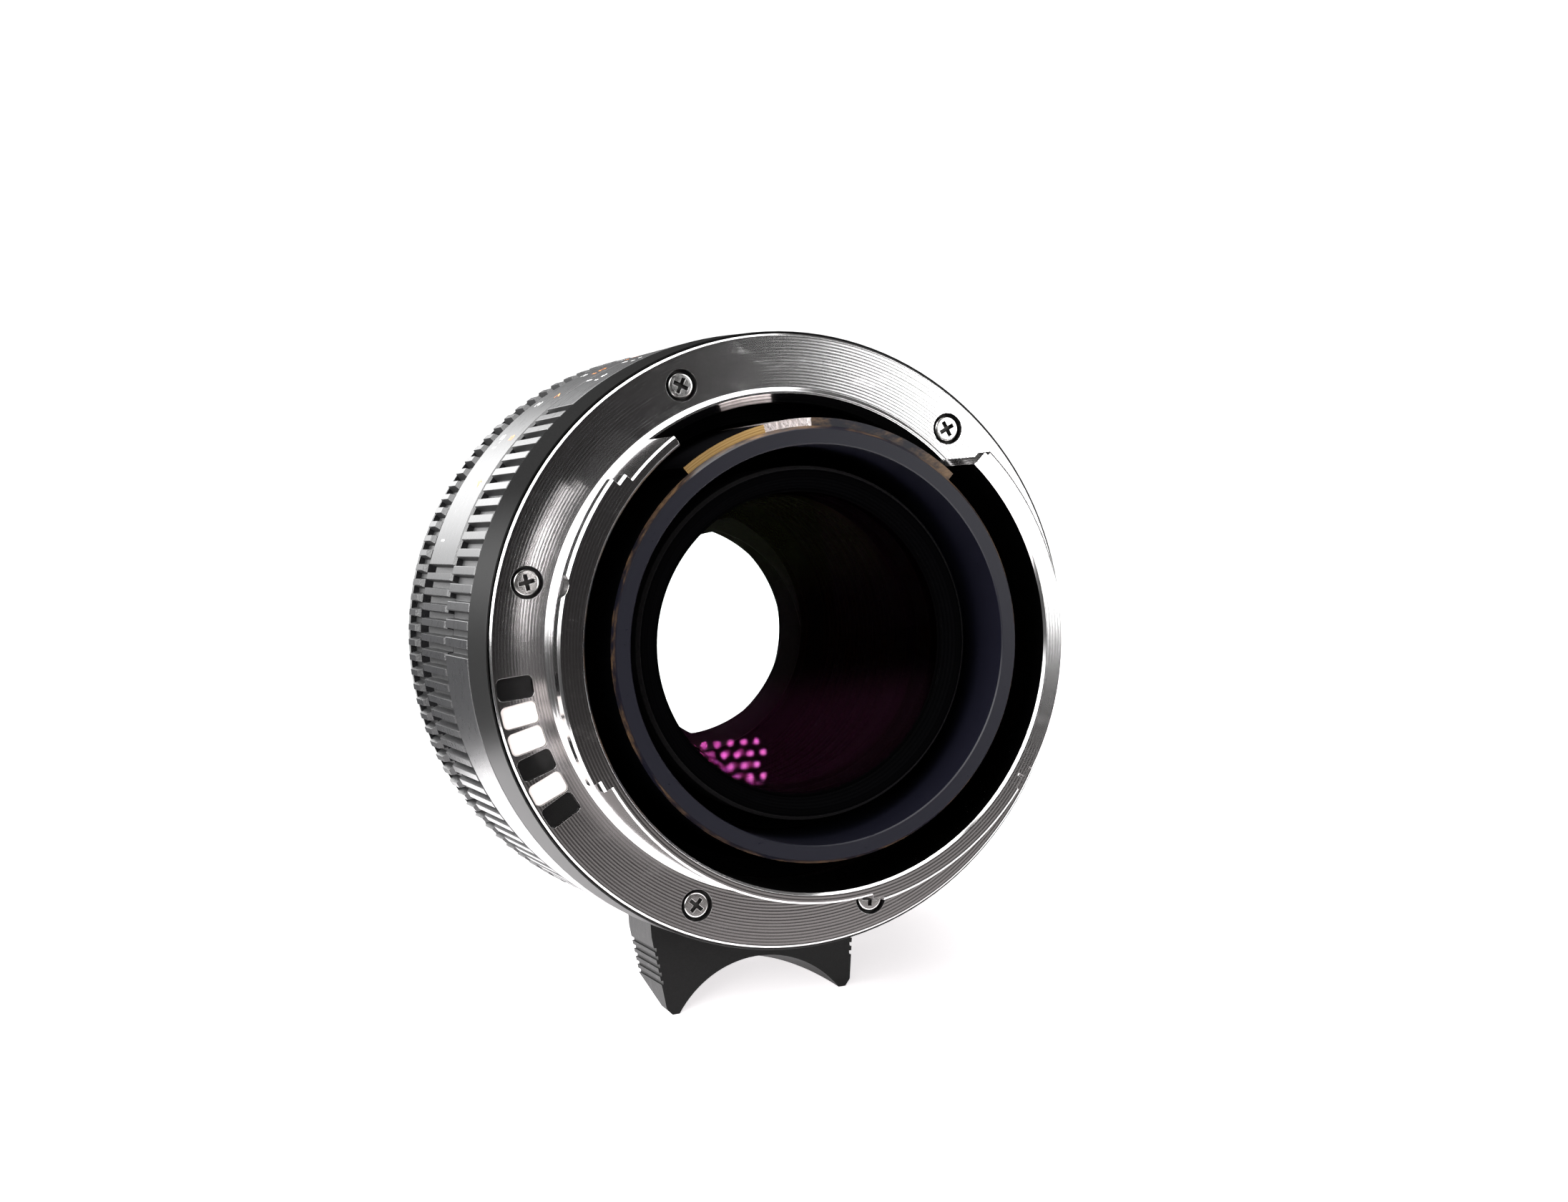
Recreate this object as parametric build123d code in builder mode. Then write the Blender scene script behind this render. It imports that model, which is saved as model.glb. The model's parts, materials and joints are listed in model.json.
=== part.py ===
"""Compact prime lens for a rangefinder camera, as an assembly of separate turned parts.

Row frame: millimetres, optical axis along Y, mount facing -Y, front of the lens +Y,
+Z up, origin at the centre of the flange seat. The focusing tab hangs straight down.
Angles are measured from +X towards +Z, as seen from behind the lens.
"""
from build123d import *
import os
from math import atan2, cos, degrees, hypot, radians, sin

# ---------------------------------------------------------------- driving sizes
running_gap = 0.1          # between parts that turn or slide on each other
face_gap = 0.05            # between faces that pass each other
# radii: the lens is built outwards from its rear glass
rear_glass_r = 12.8        # opening of the rear cell
glass_seat = 0.5           # glass outside the opening
cell_wall = 1.3
tube_wall = 1.3
cam_clear = 0.3            # rangefinder cam round the lens tube
cam_wall = 1.5
cam_lobe = 0.65            # raised part of the cam
head_clear = 0.35          # sliding head round the cam
head_wall = 1.4
helicoid_wall = 1.8        # rotating helicoid
bearing_wall = 1.15        # fixed bearing outside the helicoid
housing_step = 0.85
ring_wall = 2.2            # scale ring and focusing ring
flange_step = 0.5          # chrome flange inside the collar
throat_clear = 1.65        # bore of the bayonet round the cam
throat_wall = 0.9
front_step = 2.2           # filter ring inside the barrel
filter_wall = 1.4
# lengths along the axis
throat_height = 7.4        # how far the bayonet stands behind the flange seat
cam_height = 7.0
cell_height = 3.4
flange_t = 1.4
collar_length = 4.1
scale_length = 8.4
focus_length = 9.6
ring_space = 1.6           # between the focusing ring and the aperture ring
knurl_length = 3.3
iris_floor_depth = 1.9     # iris floor in front of the aperture ring's rear face
front_length = 6.5
thread_length = 1.4        # filter thread, all of it in front of the crowned glass
thread_step = 0.7          # step that a filter is screwed down to
filter_length = 3.5
tab_reach = 7.0            # focusing tab beyond the barrel
click_count = 7

cell_bore_r = rear_glass_r + glass_seat
cell_r = cell_bore_r + cell_wall
tube_r = cell_r + tube_wall
cam_bore_r = tube_r + cam_clear
cam_r = cam_bore_r + cam_wall
throat_r = cam_r + cam_lobe + throat_clear
head_bore_r = cam_r + cam_lobe + head_clear
head_r = head_bore_r + head_wall               # outside of the sliding lens head
helicoid_in_r = head_r + running_gap
helicoid_r = helicoid_in_r + helicoid_wall     # outside of the rotating helicoid
drive_wall_r = helicoid_r + bearing_wall       # fixed bearing under the focusing ring
housing_r = drive_wall_r + housing_step
barrel_r = housing_r + ring_wall
flange_r = barrel_r - flange_step
front_r = barrel_r - front_step
filter_r = front_r - filter_wall               # wall of the filter thread

rear_glass_y = -cell_height
cam_face_y = -cam_height
scale_ring_y = flange_t + collar_length
focus_ring_y = scale_ring_y + scale_length
focus_ring_end_y = focus_ring_y + focus_length
aperture_ring_y = focus_ring_end_y + ring_space
iris_floor_y = aperture_ring_y + iris_floor_depth

# ---------------------------------------------------------------- knurls
rib_depth = 0.75
scale_rib_pitch = 360 / 108
focus_rib_pitch = 360 / 120
aperture_rib_pitch = 360 / 120

# ---------------------------------------------------------------- iris
blade_count = 11
iris_bore_r = head_r + 1.2
pivot_circle_r = iris_bore_r - 4.3
blade_in_r = pivot_circle_r - 6.0    # inner edge of a blade, which is the full opening
blade_out_r = pivot_circle_r - 0.8
blade_end_deg = 110.0      # how far the band runs round from its pivot
lever = 4.5                # pivot to drive stud
blade_t = 0.08
blade_pitch = 0.12         # each blade lies on its own level
blade_clear = 0.06
pivot_r = 0.4
stud_r = 0.3
closing_deg = 33.0         # blade turn from full opening to smallest stop
ring_turn_deg = 54.0       # aperture ring turn for the same
rest_share = 1 / 6         # rest: one click below full opening
iris_floor_t = 1.4
iris_ring_t = 1.4
beta_rest = closing_deg * rest_share
ring_rear_y = iris_floor_y + blade_clear + blade_count * blade_pitch + 0.12
cover_front_y = ring_rear_y + iris_ring_t + 0.7
aperture_ring_end_y = cover_front_y + 0.4
front_y = aperture_ring_end_y + front_length   # front rim of the filter ring


def polar(r, angle):
    """Point at radius r and angle (degrees) in the plane across the axis."""
    return (r * cos(radians(angle)), r * sin(radians(angle)))


def across(y):
    """Plane across the axis at station y, facing the rear, with Z up."""
    return Plane.XZ.offset(-y)


def turned(*profile, mode=Mode.ADD):
    """Revolve a closed (radius, y) outline round the optical axis."""
    with BuildSketch(Plane.XY) as outline:
        with BuildLine():
            Polyline(*profile, close=True)
        make_face()
    revolve(outline.sketch, axis=Axis.Y, mode=mode)


def ring(r_in, r_out, y0, y1, mode=Mode.ADD):
    """Plain ring between two radii and two stations."""
    with BuildSketch(across(y1)) as face:
        Circle(r_out)
        Circle(r_in, mode=Mode.SUBTRACT)
    extrude(face.sketch, amount=y1 - y0, mode=mode)


def grooved(r_bottom, r_top, y_list, width, mode=Mode.SUBTRACT):
    """Row of plain ring grooves between two radii."""
    for y in y_list:
        ring(min(r_bottom, r_top), max(r_bottom, r_top), y, y + width, mode)


def sector(r_in, r_out, a0, a1):
    """Ring sector face in the active sketch, from angle a0 to a1."""
    middle = (a0 + a1) / 2
    with BuildLine() as outline:
        outer = ThreePointArc(polar(r_out, a0), polar(r_out, middle), polar(r_out, a1))
        inner = ThreePointArc(polar(r_in, a1), polar(r_in, middle), polar(r_in, a0))
        Line(outer @ 1, inner @ 0)
        Line(inner @ 1, outer @ 0)
    make_face(outline.edges())


def knurl_teeth(r, pitch, first, last, half_floor, half_top):
    """Trapezium grooves at every pitch between two angles, for a ring of radius r."""
    count = round((last - first) / pitch)
    for i in range(count):
        a = first + (i + 0.5) * pitch
        floor = r - rib_depth
        with BuildLine() as groove:
            Polyline(polar(floor, a - half_floor), polar(r + 0.3, a - half_top),
                     polar(r + 0.3, a + half_top), polar(floor, a + half_floor), close=True)
        make_face(groove.edges())


def at_polar(r, angle, turn=None):
    """Place in a plane across the axis, turned to face outwards unless told otherwise."""
    return Location((*polar(r, angle), 0), (0, 0, angle if turn is None else turn))


def radial(r, angle, y):
    """Plane whose normal points outwards at an angle, at radius r and station y."""
    x, z = polar(1, angle)
    return Plane(origin=(r * x, y, r * z), x_dir=(0, 1, 0), z_dir=(x, 0, z))


def lens_blank(r, clear_r, y_rear, y_front, rear_bulge, front_bulge):
    """Glass element of radius r with a flat rim outside clear_r; a bulge is a face's height."""
    def crown(bulge, y_edge, outwards):
        ball = (clear_r ** 2 + bulge ** 2) / (2 * abs(bulge))
        drop = ball - (ball ** 2 - clear_r ** 2 / 4) ** 0.5
        middle = bulge - drop * (1 if bulge > 0 else -1)
        return ThreePointArc((0, y_edge + outwards * bulge),
                             (clear_r / 2, y_edge + outwards * middle), (clear_r, y_edge))
    with BuildSketch(Plane.XY) as outline:
        with BuildLine():
            rear = crown(rear_bulge, y_rear, -1)
            front = crown(front_bulge, y_front, 1)
            Polyline(rear @ 1, (r, y_rear), (r, y_front), front @ 1)
            Line(front @ 0, rear @ 0)
        make_face()
    revolve(outline.sketch, axis=Axis.Y)


def finish(piece, name):
    """Label a finished piece and write it."""
    piece.part.label = name
    export_step(piece.part, "parts/" + name + ".step")


os.makedirs("parts", exist_ok=True)

# ================================================================ fixed mount body
screw_angles = (46.6, 109.9, 162.8, 244.4, 283.9, 345.4)
screw_head_r = 1.1
screw_head_t = 0.55
counterbore_r = 1.35
counterbore_depth = 0.7
screw_shank_r = 0.6
screw_length = 4.0
lug_t = 1.3                # thickness of a bayonet lug
gap_start_deg = 43.0       # the throat wall is cut away over the top
gap_end_deg = 123.0
code_angles = (-176.5, -171.2, -166.1, -161.0, -155.8, -150.9)
code_white = (1, 2, 4)
code_long = 3.0
code_wide = 1.85
code_depth = 0.5
code_corner = 0.45
notch_deg = 4.0            # lock notch, on the right of the flange
notch_width = 2.4
notch_depth = 2.6

throat_out_r = throat_r + throat_wall
lug_r = throat_out_r + 1.3
screw_circle_r = throat_out_r + 2.3
code_circle_r = flange_r - 1.82
lugs = ((139.0, 204.0, lug_r), (-80.3, -39.6, lug_r - 0.6), (-34.0, 42.0, lug_r - 0.4))

with BuildPart() as bayonet_ring:
    turned((throat_r, -throat_height + 0.2), (throat_r + 0.2, -throat_height),
           (throat_out_r - 0.15, -throat_height), (throat_out_r, -throat_height + 0.15),
           (throat_out_r, -0.35), (throat_out_r + 0.35, 0), (flange_r - 0.15, 0),
           (flange_r, 0.15), (flange_r, flange_t), (throat_r, flange_t))
    for start, end, reach in lugs:
        with BuildSketch(across(-throat_height + lug_t)):
            sector(throat_r + 0.3, reach, start, end)
            sector(throat_r + 0.3, (throat_out_r + reach) / 2, start - 2.5, end + 2.5)
        extrude(amount=lug_t)
    rims = bayonet_ring.edges().filter_by(GeomType.CIRCLE).filter_by(
        lambda e: abs(e.center().Y + throat_height) < 0.01 and e.radius > throat_out_r + 0.5)
    chamfer(rims, length=0.2)
    with BuildSketch(across(-0.45)):
        sector(throat_r - 1, lug_r + 1, gap_start_deg, gap_end_deg)
    extrude(amount=throat_height, mode=Mode.SUBTRACT)
    for angle in screw_angles:
        with Locations(across(0)):
            with Locations(polar(screw_circle_r, angle)):
                CounterBoreHole(screw_shank_r, counterbore_r, counterbore_depth)
    with BuildSketch(across(0)):
        for angle in code_angles:
            with Locations(at_polar(code_circle_r, angle)):
                RectangleRounded(code_long, code_wide, code_corner)
    extrude(amount=-code_depth, mode=Mode.SUBTRACT)
    with BuildSketch(across(0)):
        with Locations(at_polar(flange_r, notch_deg)):
            SlotOverall(2 * notch_depth, notch_width)
    extrude(amount=-flange_t, mode=Mode.SUBTRACT)
finish(bayonet_ring, "bayonet_ring")

screw_face_y = counterbore_depth - screw_head_t
with BuildPart() as mount_screws:
    with BuildSketch(across(counterbore_depth)):
        for angle in screw_angles:
            with Locations(at_polar(screw_circle_r, angle)):
                Circle(screw_head_r)
    extrude(amount=screw_head_t)
    crowns = mount_screws.edges().filter_by(GeomType.CIRCLE).filter_by(
        lambda e: abs(e.center().Y - screw_face_y) < 0.01)
    fillet(crowns, radius=0.2)
    with BuildSketch(across(counterbore_depth)):
        for angle in screw_angles:
            with Locations(at_polar(screw_circle_r, angle)):
                Circle(screw_shank_r - 0.02)
    extrude(amount=-screw_length)
    with BuildSketch(across(screw_face_y)):
        for turn, angle in enumerate(screw_angles):
            with Locations(at_polar(screw_circle_r, angle, 25 + 37 * turn)):
                Rectangle(1.35, 0.34)
                Rectangle(0.34, 1.35)
    extrude(amount=-0.38, mode=Mode.SUBTRACT)
finish(mount_screws, "mount_screws")

for colour, thickness in (("white", 0.34), ("black", 0.2)):
    with BuildPart() as insert:
        with BuildSketch(across(code_depth)):
            for place, angle in enumerate(code_angles):
                if (place in code_white) == (colour == "white"):
                    with Locations(at_polar(code_circle_r, angle)):
                        RectangleRounded(code_long - 0.04, code_wide - 0.04, code_corner - 0.02)
        extrude(amount=thickness)
    finish(insert, "code_inserts_" + colour)

collar_bore_r = throat_r + 0.4
bead_deg = -15.0
bead_y = 3.0
bead_r = 1.0
with BuildPart() as rear_collar:
    turned((collar_bore_r, flange_t), (flange_r + 0.05, flange_t), (flange_r + 0.05, 0.45),
           (flange_r + 0.23, 0.4), (barrel_r, scale_ring_y), (collar_bore_r, scale_ring_y))
    with BuildSketch(across(flange_t)):
        for angle in screw_angles:
            with Locations(at_polar(screw_circle_r, angle)):
                Circle(screw_shank_r)
    extrude(amount=-(screw_length + counterbore_depth + 0.2 - flange_t), mode=Mode.SUBTRACT)
    with BuildSketch(radial(barrel_r - 1.4, bead_deg, bead_y)):
        Circle(bead_r)
    extrude(amount=3, mode=Mode.SUBTRACT)
finish(rear_collar, "rear_collar")

with BuildPart() as index_bead:
    with BuildSketch(radial(barrel_r - 1.4, bead_deg, bead_y)):
        Circle(bead_r - 0.02)
    extrude(amount=1.65)
    fillet(index_bead.faces().sort_by_distance((0, bead_y, 0))[-1].edges(), radius=0.35)
finish(index_bead, "index_bead")

# rib patches, as first and last angle
left_patch = (125.6, 180.4)
right_patch = (180 - left_patch[1], 180 - left_patch[0])
scale_patch_edge = 160.6   # the focusing ring is ribbed below this angle, both sides
tab_clear_deg = 23.0       # half angle left plain for the tab
ring_start_y = scale_ring_y
ring_end_y = focus_ring_y - face_gap
with BuildPart() as depth_scale_ring:
    with BuildSketch(across(ring_end_y)):
        Circle(barrel_r)
        Circle(housing_r, mode=Mode.SUBTRACT)
        with BuildSketch(Plane.XY, mode=Mode.PRIVATE) as teeth:
            knurl_teeth(barrel_r, scale_rib_pitch, *left_patch, 0.62, 0.95)
            knurl_teeth(barrel_r, scale_rib_pitch, *right_patch, 0.62, 0.95)
        add(teeth.sketch, mode=Mode.SUBTRACT)
    extrude(amount=ring_end_y - ring_start_y)
    turned((housing_r - 1, ring_start_y - 1), (barrel_r - 0.3, ring_start_y - 1),
           (barrel_r - 0.3, ring_start_y), (barrel_r, ring_start_y + 0.3),
           (barrel_r, ring_end_y - 0.25), (barrel_r - 0.25, ring_end_y),
           (housing_r - 1, ring_end_y), mode=Mode.INTERSECT)
finish(depth_scale_ring, "depth_scale_ring")

barrel_end_y = focus_ring_end_y - 2.1
barrel_shelf_y = scale_ring_y + 2.0
thread_pitch = 1.5
thread_width = 0.7
thread_depth = 0.3
thread_ys = [barrel_shelf_y + 3 + thread_pitch * i for i in range(7)]
with BuildPart() as main_barrel:
    turned((collar_bore_r, scale_ring_y), (housing_r, scale_ring_y), (housing_r, ring_end_y),
           (drive_wall_r, ring_end_y), (drive_wall_r, barrel_end_y),
           (helicoid_r + running_gap, barrel_end_y), (helicoid_r + running_gap, barrel_shelf_y),
           (collar_bore_r, barrel_shelf_y))
    grooved(helicoid_r, helicoid_r + running_gap + thread_depth, thread_ys, thread_width)
finish(main_barrel, "main_barrel")

key_width = 3.0
key_length = 2.2
key_angles = (0, 180)
with BuildPart() as guide_keys:
    key_reach = helicoid_r + running_gap - 0.06
    with BuildSketch(across(barrel_shelf_y)):
        for angle in key_angles:
            with Locations(at_polar((key_reach + head_bore_r + 0.3) / 2, angle)):
                Rectangle(key_reach - head_bore_r - 0.3, key_width)
    extrude(amount=-key_length)
finish(guide_keys, "guide_keys")

# ================================================================ focusing ring body
flange_seat_r = drive_wall_r + 1.25
flange_seat_y = barrel_end_y + 0.2
flange_seat_t = 1.0
lip_y = flange_seat_y + flange_seat_t + face_gap
tab_deg = -90.0
tab_y = focus_ring_y + face_gap
tab_screw_spread = 10.0
tab_screw_y = tab_y + 3.2
with BuildPart() as focus_ring:
    with BuildSketch(across(focus_ring_end_y)):
        Circle(barrel_r)
        Circle(head_r + 0.4, mode=Mode.SUBTRACT)
        with BuildSketch(Plane.XY, mode=Mode.PRIVATE) as teeth:
            knurl_teeth(barrel_r, focus_rib_pitch, scale_patch_edge, 270 - tab_clear_deg, 0.6, 0.95)
            knurl_teeth(barrel_r, focus_rib_pitch, 270 + tab_clear_deg, 540 - scale_patch_edge, 0.6, 0.95)
        add(teeth.sketch, mode=Mode.SUBTRACT)
    extrude(amount=focus_ring_end_y - tab_y)
    turned((head_r, tab_y), (barrel_r - 0.25, tab_y), (barrel_r, tab_y + 0.25),
           (barrel_r, focus_ring_end_y - 0.3), (barrel_r - 0.3, focus_ring_end_y),
           (head_r, focus_ring_end_y), mode=Mode.INTERSECT)
    ring(head_r, drive_wall_r + running_gap, tab_y - 1, flange_seat_y, Mode.SUBTRACT)
    ring(head_r, flange_seat_r + face_gap, flange_seat_y, lip_y, Mode.SUBTRACT)
    for side in (-1, 1):
        with BuildSketch(radial(drive_wall_r, tab_deg + side * tab_screw_spread, tab_screw_y)):
            Circle(1.0)
        extrude(amount=1.1, mode=Mode.SUBTRACT)
        with BuildSketch(radial(drive_wall_r, tab_deg + side * tab_screw_spread, tab_screw_y)):
            Circle(0.55)
        extrude(amount=6, mode=Mode.SUBTRACT)
finish(focus_ring, "focus_ring")

with BuildPart() as tab_screws:
    for side in (-1, 1):
        seat = radial(drive_wall_r + 1.1, tab_deg + side * tab_screw_spread, tab_screw_y)
        with BuildSketch(seat):
            Circle(0.95)
        extrude(amount=-0.7)
        with BuildSketch(seat):
            Circle(0.53)
        extrude(amount=3.9)
        with BuildSketch(seat.offset(-0.7)):
            Rectangle(1.3, 0.3)
        extrude(amount=0.35, mode=Mode.SUBTRACT)
finish(tab_screws, "tab_screws")

tab_root_half = 9.8
tab_tip_half = 8.9
tab_tip_z = -barrel_r - tab_reach
tab_length = 6.6
tab_front_z = tab_tip_z + 2.7
scoop_r = 9.5
scoop_rear_z = tab_tip_z + 3.9       # crown of the finger scoop at the rear face
with BuildPart() as focus_tab:
    with BuildSketch(across(tab_y + tab_length)):
        with BuildLine():
            Polyline((-tab_root_half, -housing_r + 4), (tab_root_half, -housing_r + 4),
                     (tab_root_half, -barrel_r + 0.2),
                     (tab_tip_half, tab_tip_z + 0.6), (tab_tip_half - 0.5, tab_tip_z),
                     (-tab_tip_half + 0.5, tab_tip_z), (-tab_tip_half, tab_tip_z + 0.6),
                     (-tab_root_half, -barrel_r + 0.2), close=True)
        make_face()
    extrude(amount=tab_length)
    with BuildSketch(Plane.YZ.offset(-12)):
        with BuildLine():
            Polyline((tab_y, tab_tip_z), (tab_y + tab_length, tab_front_z),
                     (tab_y + tab_length + 1, tab_front_z), (tab_y + tab_length + 1, tab_tip_z - 2),
                     (tab_y, tab_tip_z - 2), close=True)
        make_face()
    extrude(amount=24, mode=Mode.SUBTRACT)
    scoop_slope = (tab_front_z - scoop_rear_z) / tab_length
    scoop_plane = Plane(origin=(0, tab_y - 4, scoop_rear_z - scoop_r - 4 * scoop_slope),
                        x_dir=(1, 0, 0), z_dir=(0, 1, scoop_slope))
    with BuildSketch(scoop_plane):
        Circle(scoop_r)
    extrude(amount=tab_length + 12, mode=Mode.SUBTRACT)
    with BuildSketch(across(tab_y + tab_length + 1)):
        Circle(barrel_r)
    extrude(amount=tab_length + 2, mode=Mode.SUBTRACT)
    with BuildSketch(across(tab_y + tab_length + 1)):
        for side in (-1, 1):
            for i in range(5):
                with Locations((side * (tab_root_half - 0.02 - 0.1 * i), -barrel_r - 1.0 - 0.75 * i)):
                    Rectangle(0.7, 0.36)
    extrude(amount=tab_length + 2, mode=Mode.SUBTRACT)
    for side in (-1, 1):
        with BuildSketch(radial(barrel_r - 1, tab_deg + side * tab_screw_spread, tab_screw_y)):
            Circle(0.55)
        extrude(amount=3.1, mode=Mode.SUBTRACT)
finish(focus_tab, "focus_tab")

with BuildPart() as focus_helicoid:
    turned((helicoid_in_r, barrel_shelf_y + 2.5), (helicoid_r, barrel_shelf_y + 2.5),
           (helicoid_r, flange_seat_y), (flange_seat_r, flange_seat_y),
           (flange_seat_r, flange_seat_y + flange_seat_t), (helicoid_in_r, flange_seat_y + flange_seat_t))
    grooved(helicoid_in_r - 0.1, helicoid_in_r + thread_depth, thread_ys, thread_width)
    grooved(helicoid_r - thread_depth, helicoid_r + 0.1, thread_ys, thread_width)
finish(focus_helicoid, "focus_helicoid")

# ================================================================ rangefinder cam body
tube_rear_y = scale_ring_y - 3.5
cam_end_y = tube_rear_y + 7.0
with BuildPart() as cam_ring:
    turned((cam_bore_r, cam_face_y + 0.1), (cam_bore_r + 0.1, cam_face_y), (cam_r - 0.3, cam_face_y),
           (cam_r, cam_face_y + 0.5), (cam_r, cam_end_y), (cam_bore_r, cam_end_y))
    with BuildSketch(across(cam_end_y)):
        sector(cam_r - 0.3, cam_r + cam_lobe, gap_start_deg + 2, gap_end_deg + 2)
    extrude(amount=cam_end_y - cam_face_y - 0.5)
finish(cam_ring, "cam_ring")

# ================================================================ lens head body
head_rear_y = tube_rear_y + 1.0
head_web_y = focus_ring_y + 0.1
head_web_t = 2.0
iris_floor_rear_y = iris_floor_y - iris_floor_t
with BuildPart() as head_helicoid:
    turned((head_bore_r, head_rear_y), (head_r, head_rear_y), (head_r, iris_floor_rear_y),
           (head_bore_r, iris_floor_rear_y), (head_bore_r, head_web_y + head_web_t),
           (tube_r, head_web_y + head_web_t), (tube_r, head_web_y), (head_bore_r, head_web_y))
    grooved(head_r - thread_depth, head_r + 0.1, thread_ys, thread_width)
    with BuildSketch(across(barrel_shelf_y + key_length + 0.5)):
        for angle in key_angles:
            with Locations(at_polar(head_r, angle)):
                Rectangle(4, key_width + 2 * running_gap)
    extrude(amount=10, mode=Mode.SUBTRACT)
finish(head_helicoid, "head_helicoid")

tube_bore_r = cell_bore_r - 0.4
cell_end_y = tube_rear_y + 6.0
with BuildPart() as lens_tube:
    turned((cell_r, tube_rear_y), (tube_r, tube_rear_y), (tube_r, iris_floor_rear_y),
           (tube_bore_r, iris_floor_rear_y), (tube_bore_r, cell_end_y), (cell_r, cell_end_y))
    grooved(tube_bore_r - 0.1, tube_bore_r + 0.35, [cell_end_y + 1.6 + 2.0 * i for i in range(8)], 0.9)
finish(lens_tube, "lens_tube")

with BuildPart() as rear_cell:
    turned((cell_r, rear_glass_y + 0.4), (cell_r - 0.3, rear_glass_y), (rear_glass_r + 0.9, rear_glass_y),
           (rear_glass_r, rear_glass_y + 0.8), (rear_glass_r, rear_glass_y + 1.1),
           (cell_bore_r, rear_glass_y + 1.1), (cell_bore_r, cell_end_y), (cell_r, cell_end_y))
finish(rear_cell, "rear_cell")

rear_seat_y = rear_glass_y + 1.1
rear_edge_t = 3.0
rear_gap_t = 2.5
inner_edge_t = 2.6
inner_seat_y = rear_seat_y + rear_edge_t + rear_gap_t
with BuildPart() as rear_element:
    lens_blank(cell_bore_r, rear_glass_r - 0.3, rear_seat_y, rear_seat_y + rear_edge_t, 0.9, -0.8)
finish(rear_element, "rear_element")

with BuildPart() as rear_spacer:
    ring(cell_bore_r - 0.8, cell_bore_r, rear_seat_y + rear_edge_t, inner_seat_y)
finish(rear_spacer, "rear_spacer")

with BuildPart() as inner_rear_element:
    lens_blank(cell_bore_r, cell_bore_r - 0.9, inner_seat_y, inner_seat_y + inner_edge_t, -0.7, 0.9)
finish(inner_rear_element, "inner_rear_element")

with BuildPart() as rear_retaining_ring:
    ring(cell_bore_r - 0.9, cell_bore_r, inner_seat_y + inner_edge_t, cell_end_y)
    with BuildSketch(across(cell_end_y)):
        for angle in (0, 180):
            with Locations(at_polar(cell_bore_r - 0.9, angle)):
                Rectangle(0.8, 1.2)
    extrude(amount=0.5, mode=Mode.SUBTRACT)
finish(rear_retaining_ring, "rear_retaining_ring")

# ---------------------------------------------------------------- iris housing
housing_out_r = iris_bore_r + 2.1
wall_end_y = aperture_ring_end_y + 0.1
ring_mid_y = ring_rear_y + iris_ring_t / 2
pin_deg = 200.0
pin_r = 0.55
ratio = closing_deg / ring_turn_deg
theta_rest = beta_rest / ratio
ball_deg = 20.0
ball_r = 0.55
ball_circle_r = housing_out_r - ball_r - 0.02
pocket_floor_r = iris_bore_r + 0.3
pivot_hole_r = pivot_r + 0.05
pivot_depth = 0.8
with BuildPart() as iris_housing:
    turned((blade_in_r + 0.1, iris_floor_rear_y), (housing_out_r, iris_floor_rear_y),
           (housing_out_r, wall_end_y), (iris_bore_r, wall_end_y), (iris_bore_r, iris_floor_y),
           (blade_in_r + 0.1, iris_floor_y))
    with BuildSketch(across(iris_floor_y)):
        with PolarLocations(pivot_circle_r, blade_count):
            Circle(pivot_hole_r)
    extrude(amount=pivot_depth + 0.1, mode=Mode.SUBTRACT)
    slot_margin = degrees((pin_r + 0.5) / iris_bore_r)
    with BuildSketch(across(ring_mid_y + pin_r + 0.1)):
        sector(iris_bore_r - 1, housing_out_r + 1, pin_deg - theta_rest - slot_margin,
               pin_deg + ring_turn_deg - theta_rest + slot_margin)
    extrude(amount=2 * (pin_r + 0.1), mode=Mode.SUBTRACT)
    with BuildSketch(radial(pocket_floor_r, ball_deg, ring_mid_y)):
        Circle(ball_r + 0.05)
    extrude(amount=3, mode=Mode.SUBTRACT)
finish(iris_housing, "iris_housing")

with BuildPart() as click_ball:
    with Locations((ball_circle_r * cos(radians(ball_deg)), ring_mid_y,
                    ball_circle_r * sin(radians(ball_deg)))):
        Sphere(ball_r)
finish(click_ball, "click_ball")

with BuildPart() as click_spring:
    spring_top = ball_circle_r - ball_r
    wire_r = 0.07
    coil_r = ball_r - wire_r - 0.05
    coil_plane = radial(pocket_floor_r + wire_r, ball_deg, ring_mid_y)
    coil = Helix(pitch=(spring_top - pocket_floor_r - 2 * wire_r) / 3, radius=coil_r,
                 height=spring_top - pocket_floor_r - 2 * wire_r)
    coil = coil_plane.location * coil
    with BuildLine():
        add(coil)
    with BuildSketch(Plane(origin=coil @ 0, z_dir=coil % 0)) as wire:
        Circle(wire_r)
    sweep(wire.sketch, path=coil)
finish(click_spring, "click_spring")

cover_bore_r = blade_in_r + 2.0
with BuildPart() as iris_cover:
    ring(cover_bore_r, iris_bore_r, ring_rear_y + iris_ring_t + 0.1, ring_rear_y + iris_ring_t + 0.7)
finish(iris_cover, "iris_cover")

# ---------------------------------------------------------------- front group
filter_rear_y = front_y - filter_length
inner_front_r = cover_bore_r + 0.6
front_glass_r = inner_front_r + 2.6
with BuildPart() as front_cell:
    turned((cover_bore_r, cover_front_y), (iris_bore_r, cover_front_y), (iris_bore_r, filter_rear_y),
           (front_glass_r + 1.6, filter_rear_y), (front_glass_r + 1.4, filter_rear_y + 0.9),
           (front_glass_r, filter_rear_y + 0.9), (front_glass_r, filter_rear_y - 1.2),
           (inner_front_r, filter_rear_y - 1.2), (inner_front_r, cover_front_y + 0.4),
           (cover_bore_r, cover_front_y + 0.4))
finish(front_cell, "front_cell")

inner_front_y = cover_front_y + 0.4
with BuildPart() as inner_front_element:
    lens_blank(inner_front_r, inner_front_r - 0.6, inner_front_y, inner_front_y + 1.2, -0.5, 0.6)
finish(inner_front_element, "inner_front_element")

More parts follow.
